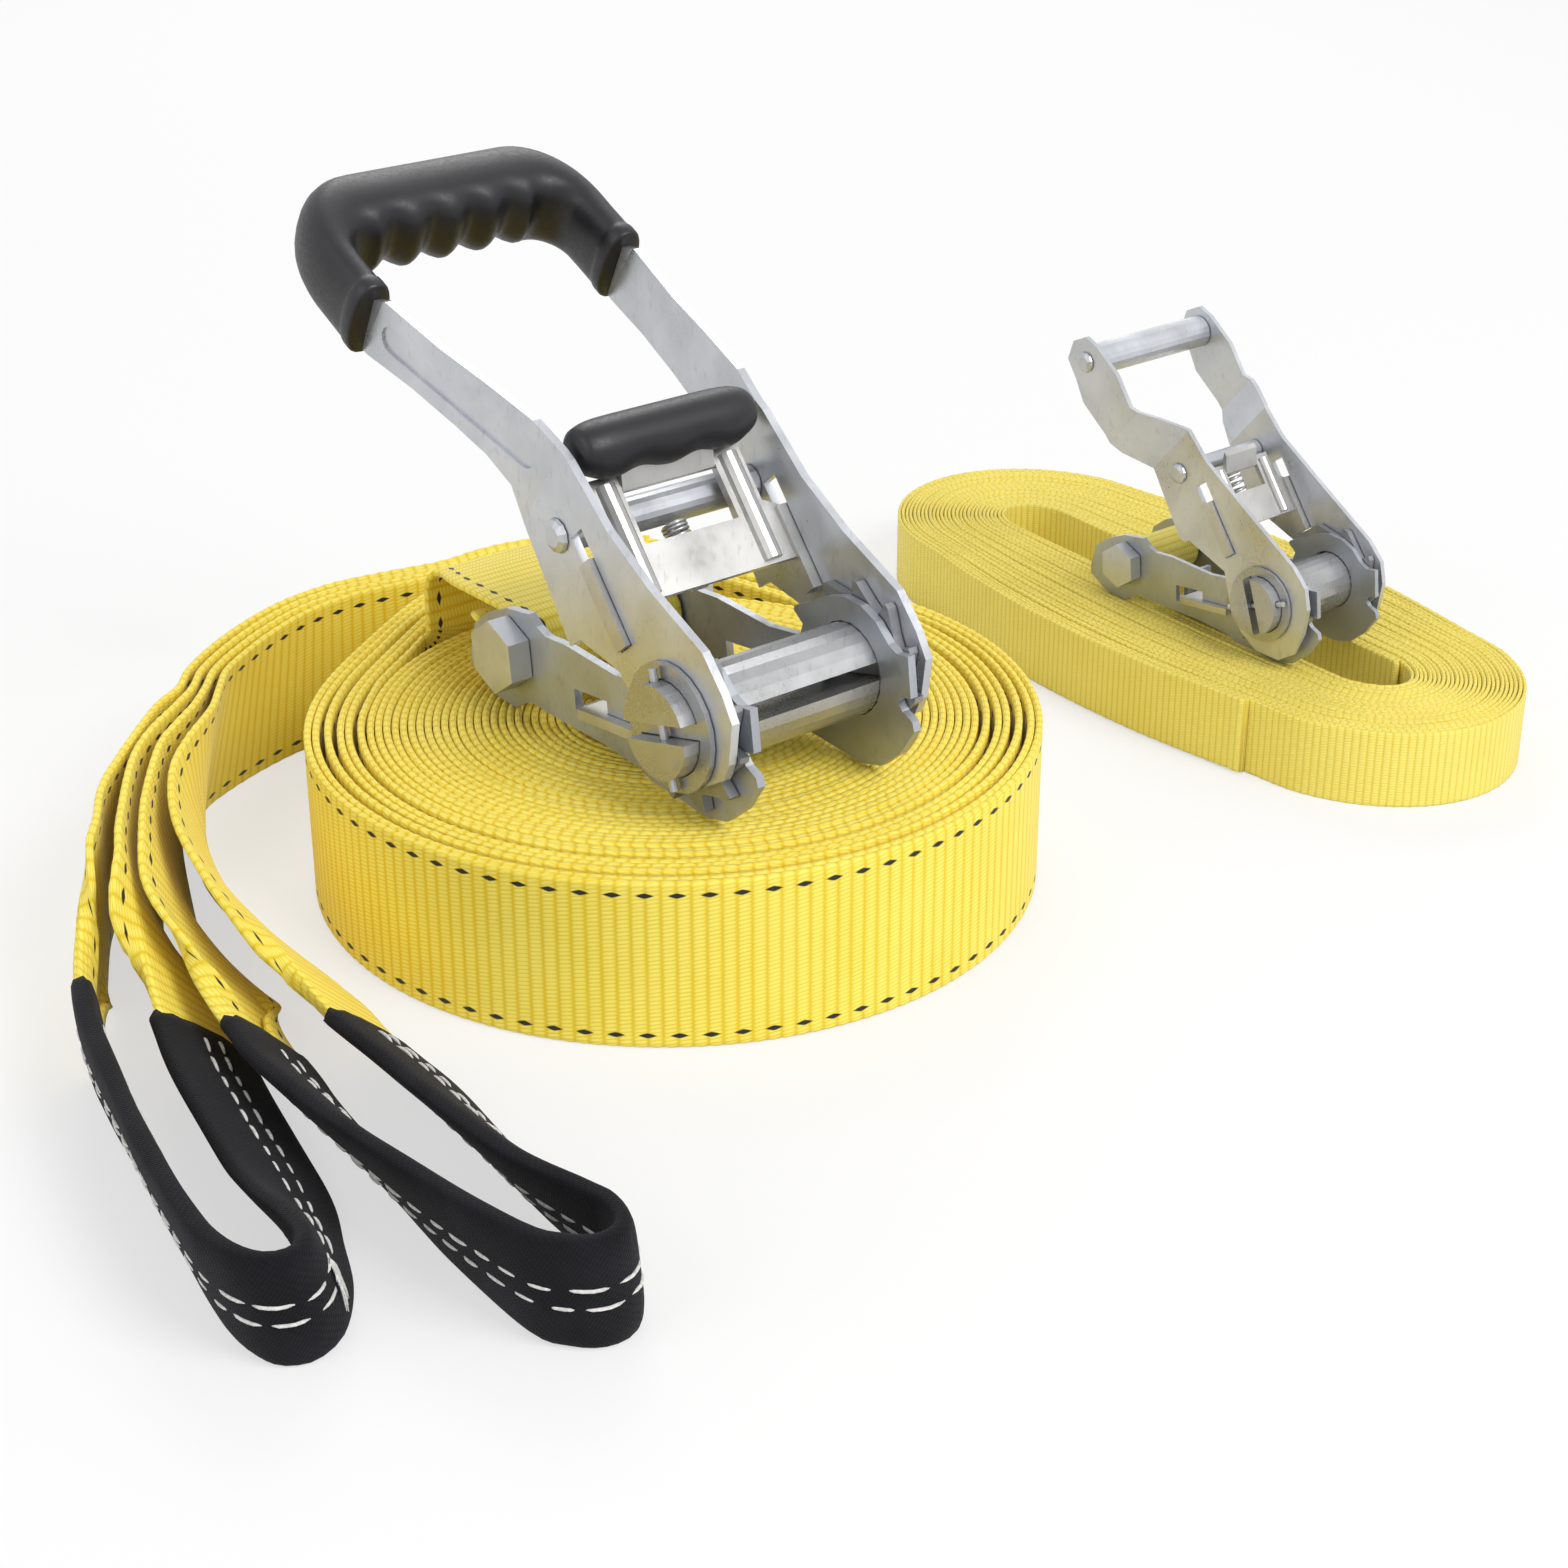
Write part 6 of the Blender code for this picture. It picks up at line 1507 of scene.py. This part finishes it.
def spring_route(node, slide, turns):
    """The helix of a spring, its wire's radius, its axis, its far end and its length."""
    solid = frame["nodes"][node]
    points = np.array([tuple(solid.matrix_world @ vert.co) for vert in solid.data.vertices])
    axis = np.array([joint["axis"] for joint in frame["joints"] if joint["name"] == slide][0], float)
    axis /= np.linalg.norm(axis)
    middle = points.mean(axis=0)
    run = (points - middle) @ axis
    middle = middle + axis * (run.max() + run.min()) / 2.0
    half = (run.max() - run.min()) / 2.0
    off = points - middle - np.outer((points - middle) @ axis, axis)
    reach = np.percentile(np.linalg.norm(off, axis=1), REACH_PERCENTILE)
    wire = reach * SPRING_WIRE_SHARE
    one = np.cross(axis, (0.0, 0.0, 1.0))
    one /= np.linalg.norm(one)
    two = np.cross(axis, one)
    route = []
    for i in range(turns * TURN_STEPS + 1):
        share = i / (turns * TURN_STEPS)
        eased = share - SPRING_CLOSING / turns * math.sin(2.0 * math.pi * share)
        angle = 2.0 * math.pi * turns * share
        place = middle + axis * (eased * 2.0 - 1.0) * (half - wire)
        route.append(place + (one * math.cos(angle) + two * math.sin(angle)) * (reach - wire))
    return route, wire, axis, middle + axis * half, 2.0 * half


for node, (turns, travel, body) in SPRINGS.items():
    slide = node.replace("spring", "slide")
    route, wire, axis, far_end, length = spring_route(node, slide, turns)
    coil = tubes(node + "_wire", [route], wire, PLATINGS["spring_steel"], SPRING_SIDES)
    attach(coil, body)
    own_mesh(coil)
    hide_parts(node)
    print(node, turns, "turns of", round(2.0 * wire / MM, 2), "mm wire")

# %% [markdown]
# Steel parts keep their solids. A bevel a third of a millimetre wide breaks every hard edge, as tumbling
# before plating does, and each kind of part gets its own plating: pale on the levers, cooler and duller
# on the frames, darker on the wheels and glossier on the turned shafts.

# %% Steel parts
BEVEL_WIDTH = 0.35 * MM
BEVEL_SEGMENTS = 2
BEVEL_ANGLE = 35.0
PLATING_OF = (("handle_arm", "lever_zinc"), ("base_frame", "frame_zinc"), ("half_shaft", "shaft_steel"),
              ("ratchet_wheel", "wheel_zinc"), ("pawl", "pawl_zinc"), ("end_disc", "shaft_steel"),
              ("shaft_pin", "bolt_zinc"), ("bolt", "bolt_zinc"), ("nut", "bolt_zinc"),
              ("rivet", "bolt_zinc"), ("sleeve", "bolt_zinc"), ("spacer", "bolt_zinc"),
              ("grip_tube", "lever_zinc"), ("grip_rod", "bolt_zinc"))
SOFT_NODES = ("main_line_coil", "main_line_end", "main_line_sleeve", "ratchet_strap",
              "ratchet_strap_sleeve", "teaching_line_coil", "teaching_strap", "main_handle_grip",
              "main_finger_pull")

steel_nodes = [node for node in frame["nodes"] if node not in SOFT_NODES and node not in SPRINGS]
for node in steel_nodes:
    solid = frame["nodes"][node]
    plating = next(name for word, name in PLATING_OF if word in node)
    for place in solid.material_slots:
        place.material = PLATINGS[plating]
    bevel = solid.modifiers.new("broken_edges", "BEVEL")
    bevel.width = BEVEL_WIDTH
    bevel.segments = BEVEL_SEGMENTS
    bevel.limit_method = "ANGLE"
    bevel.angle_limit = math.radians(BEVEL_ANGLE)
    bevel.harden_normals = False
print(len(steel_nodes), "steel parts have a finish and broken edges")

# %% [markdown]
# The set lies on a plain pale floor. Stronger lamps would whiten it but wash out the yellow. So the floor
# glows a little for the camera and for reflections alone, and still takes the shadow. Light Path tells
# which kind of ray is looking, so the glow lights nothing.

# %% Floor
FLOOR_HALF = 6.0
FLOOR_SHADE = 0.86
FLOOR_GLOW = 0.62


def seen_ray(nodes, links):
    """1 for rays from the camera, reflections and transmission, 0 for the rest."""
    path = nodes.new("ShaderNodeLightPath")
    either = path.outputs["Is Camera Ray"]
    for name in ("Is Glossy Ray", "Is Transmission Ray"):
        most = nodes.new("ShaderNodeMath")
        most.operation = "MAXIMUM"
        links.new(either, most.inputs[0])
        links.new(path.outputs[name], most.inputs[1])
        either = most.outputs[0]
    return either


def glow_material(name, shade, glow_share):
    """A diffuse floor that glows by a share where the camera or a reflection sees it."""
    material = bpy.data.materials.new(name)
    material.use_nodes = True
    nodes, links = material.node_tree.nodes, material.node_tree.links
    nodes.clear()
    out = nodes.new("ShaderNodeOutputMaterial")
    plain = nodes.new("ShaderNodeBsdfDiffuse")
    plain.inputs["Color"].default_value = (shade, shade, shade, 1.0)
    glow = nodes.new("ShaderNodeEmission")
    glow.inputs["Color"].default_value = (1.0, 1.0, 1.0, 1.0)
    share = nodes.new("ShaderNodeMath")
    share.operation = "MULTIPLY"
    share.inputs[1].default_value = glow_share
    links.new(seen_ray(nodes, links), share.inputs[0])
    mixed = nodes.new("ShaderNodeMixShader")
    links.new(share.outputs[0], mixed.inputs["Fac"])
    links.new(plain.outputs[0], mixed.inputs[1])
    links.new(glow.outputs[0], mixed.inputs[2])
    links.new(mixed.outputs[0], out.inputs["Surface"])
    return material


corners = [(x * FLOOR_HALF, y * FLOOR_HALF, 0.0) for x, y in ((-1, -1), (1, -1), (1, 1), (-1, 1))]
floor_mesh = bpy.data.meshes.new("floor")
floor_mesh.from_pydata(corners, [], [(0, 1, 2, 3)])
floor_mesh.materials.append(glow_material("pale_floor", FLOOR_SHADE, FLOOR_GLOW))
floor = bpy.data.objects.new("floor", floor_mesh)
bpy.context.scene.collection.objects.link(floor)
print("floor is", 2.0 * FLOOR_HALF, "m wide")

# %% [markdown]
# Soft light comes from the front right, so the coil's left side is darker. A sun or a spot would cut hard
# shadows between the turns, so three large square lamps do it: a key, a weak fill and one behind for the
# metal's edges. Each row has a place, a size in metres and a power in watts.

# %% Lamps
LAMPS = {
    "key_lamp": ((1.3, -1.1, 1.7), 1.1, 35.0),
    "fill_lamp": ((-1.5, -1.2, 1.1), 1.6, 10.0),
    "back_lamp": ((-0.2, 1.7, 1.5), 1.2, 14.0),
}
LAMP_TARGET = Vector((0.0, 0.0, 0.05))

for name, (place, size, watts) in LAMPS.items():
    data = bpy.data.lights.new(name, "AREA")
    data.shape = "SQUARE"
    data.size = size
    data.energy = watts
    lamp = bpy.data.objects.new(name, data)
    lamp.location = place
    lamp.rotation_euler = (LAMP_TARGET - Vector(place)).to_track_quat("-Z", "Y").to_euler()
    bpy.context.scene.collection.objects.link(lamp)
print("stage is set with", len(LAMPS), "lamps")

# %% [markdown]
# The background lights the set from all round at half strength, and looks twice as bright to the camera
# and in reflections, so it reads as a white room. Standard view keeps the yellow as bright as it is.

# %% Background
ROOM_LIGHT = 0.50
ROOM_GLOW = 0.50

world = bpy.data.worlds.new("studio")
world.use_nodes = True
bpy.context.scene.world = world
sky, sky_links = world.node_tree.nodes, world.node_tree.links
room = sky["Background"]
room.inputs["Color"].default_value = (1.0, 1.0, 1.0, 1.0)
strength = sky.new("ShaderNodeMath")
strength.operation = "MULTIPLY_ADD"
strength.inputs[1].default_value = ROOM_GLOW
strength.inputs[2].default_value = ROOM_LIGHT
sky_links.new(seen_ray(sky, sky_links), strength.inputs[0])
sky_links.new(strength.outputs[0], room.inputs["Strength"])
bpy.context.scene.view_settings.view_transform = "Standard"
print("background is", ROOM_LIGHT, "bright, and", ROOM_LIGHT + ROOM_GLOW, "where it is seen")

# %% [markdown]
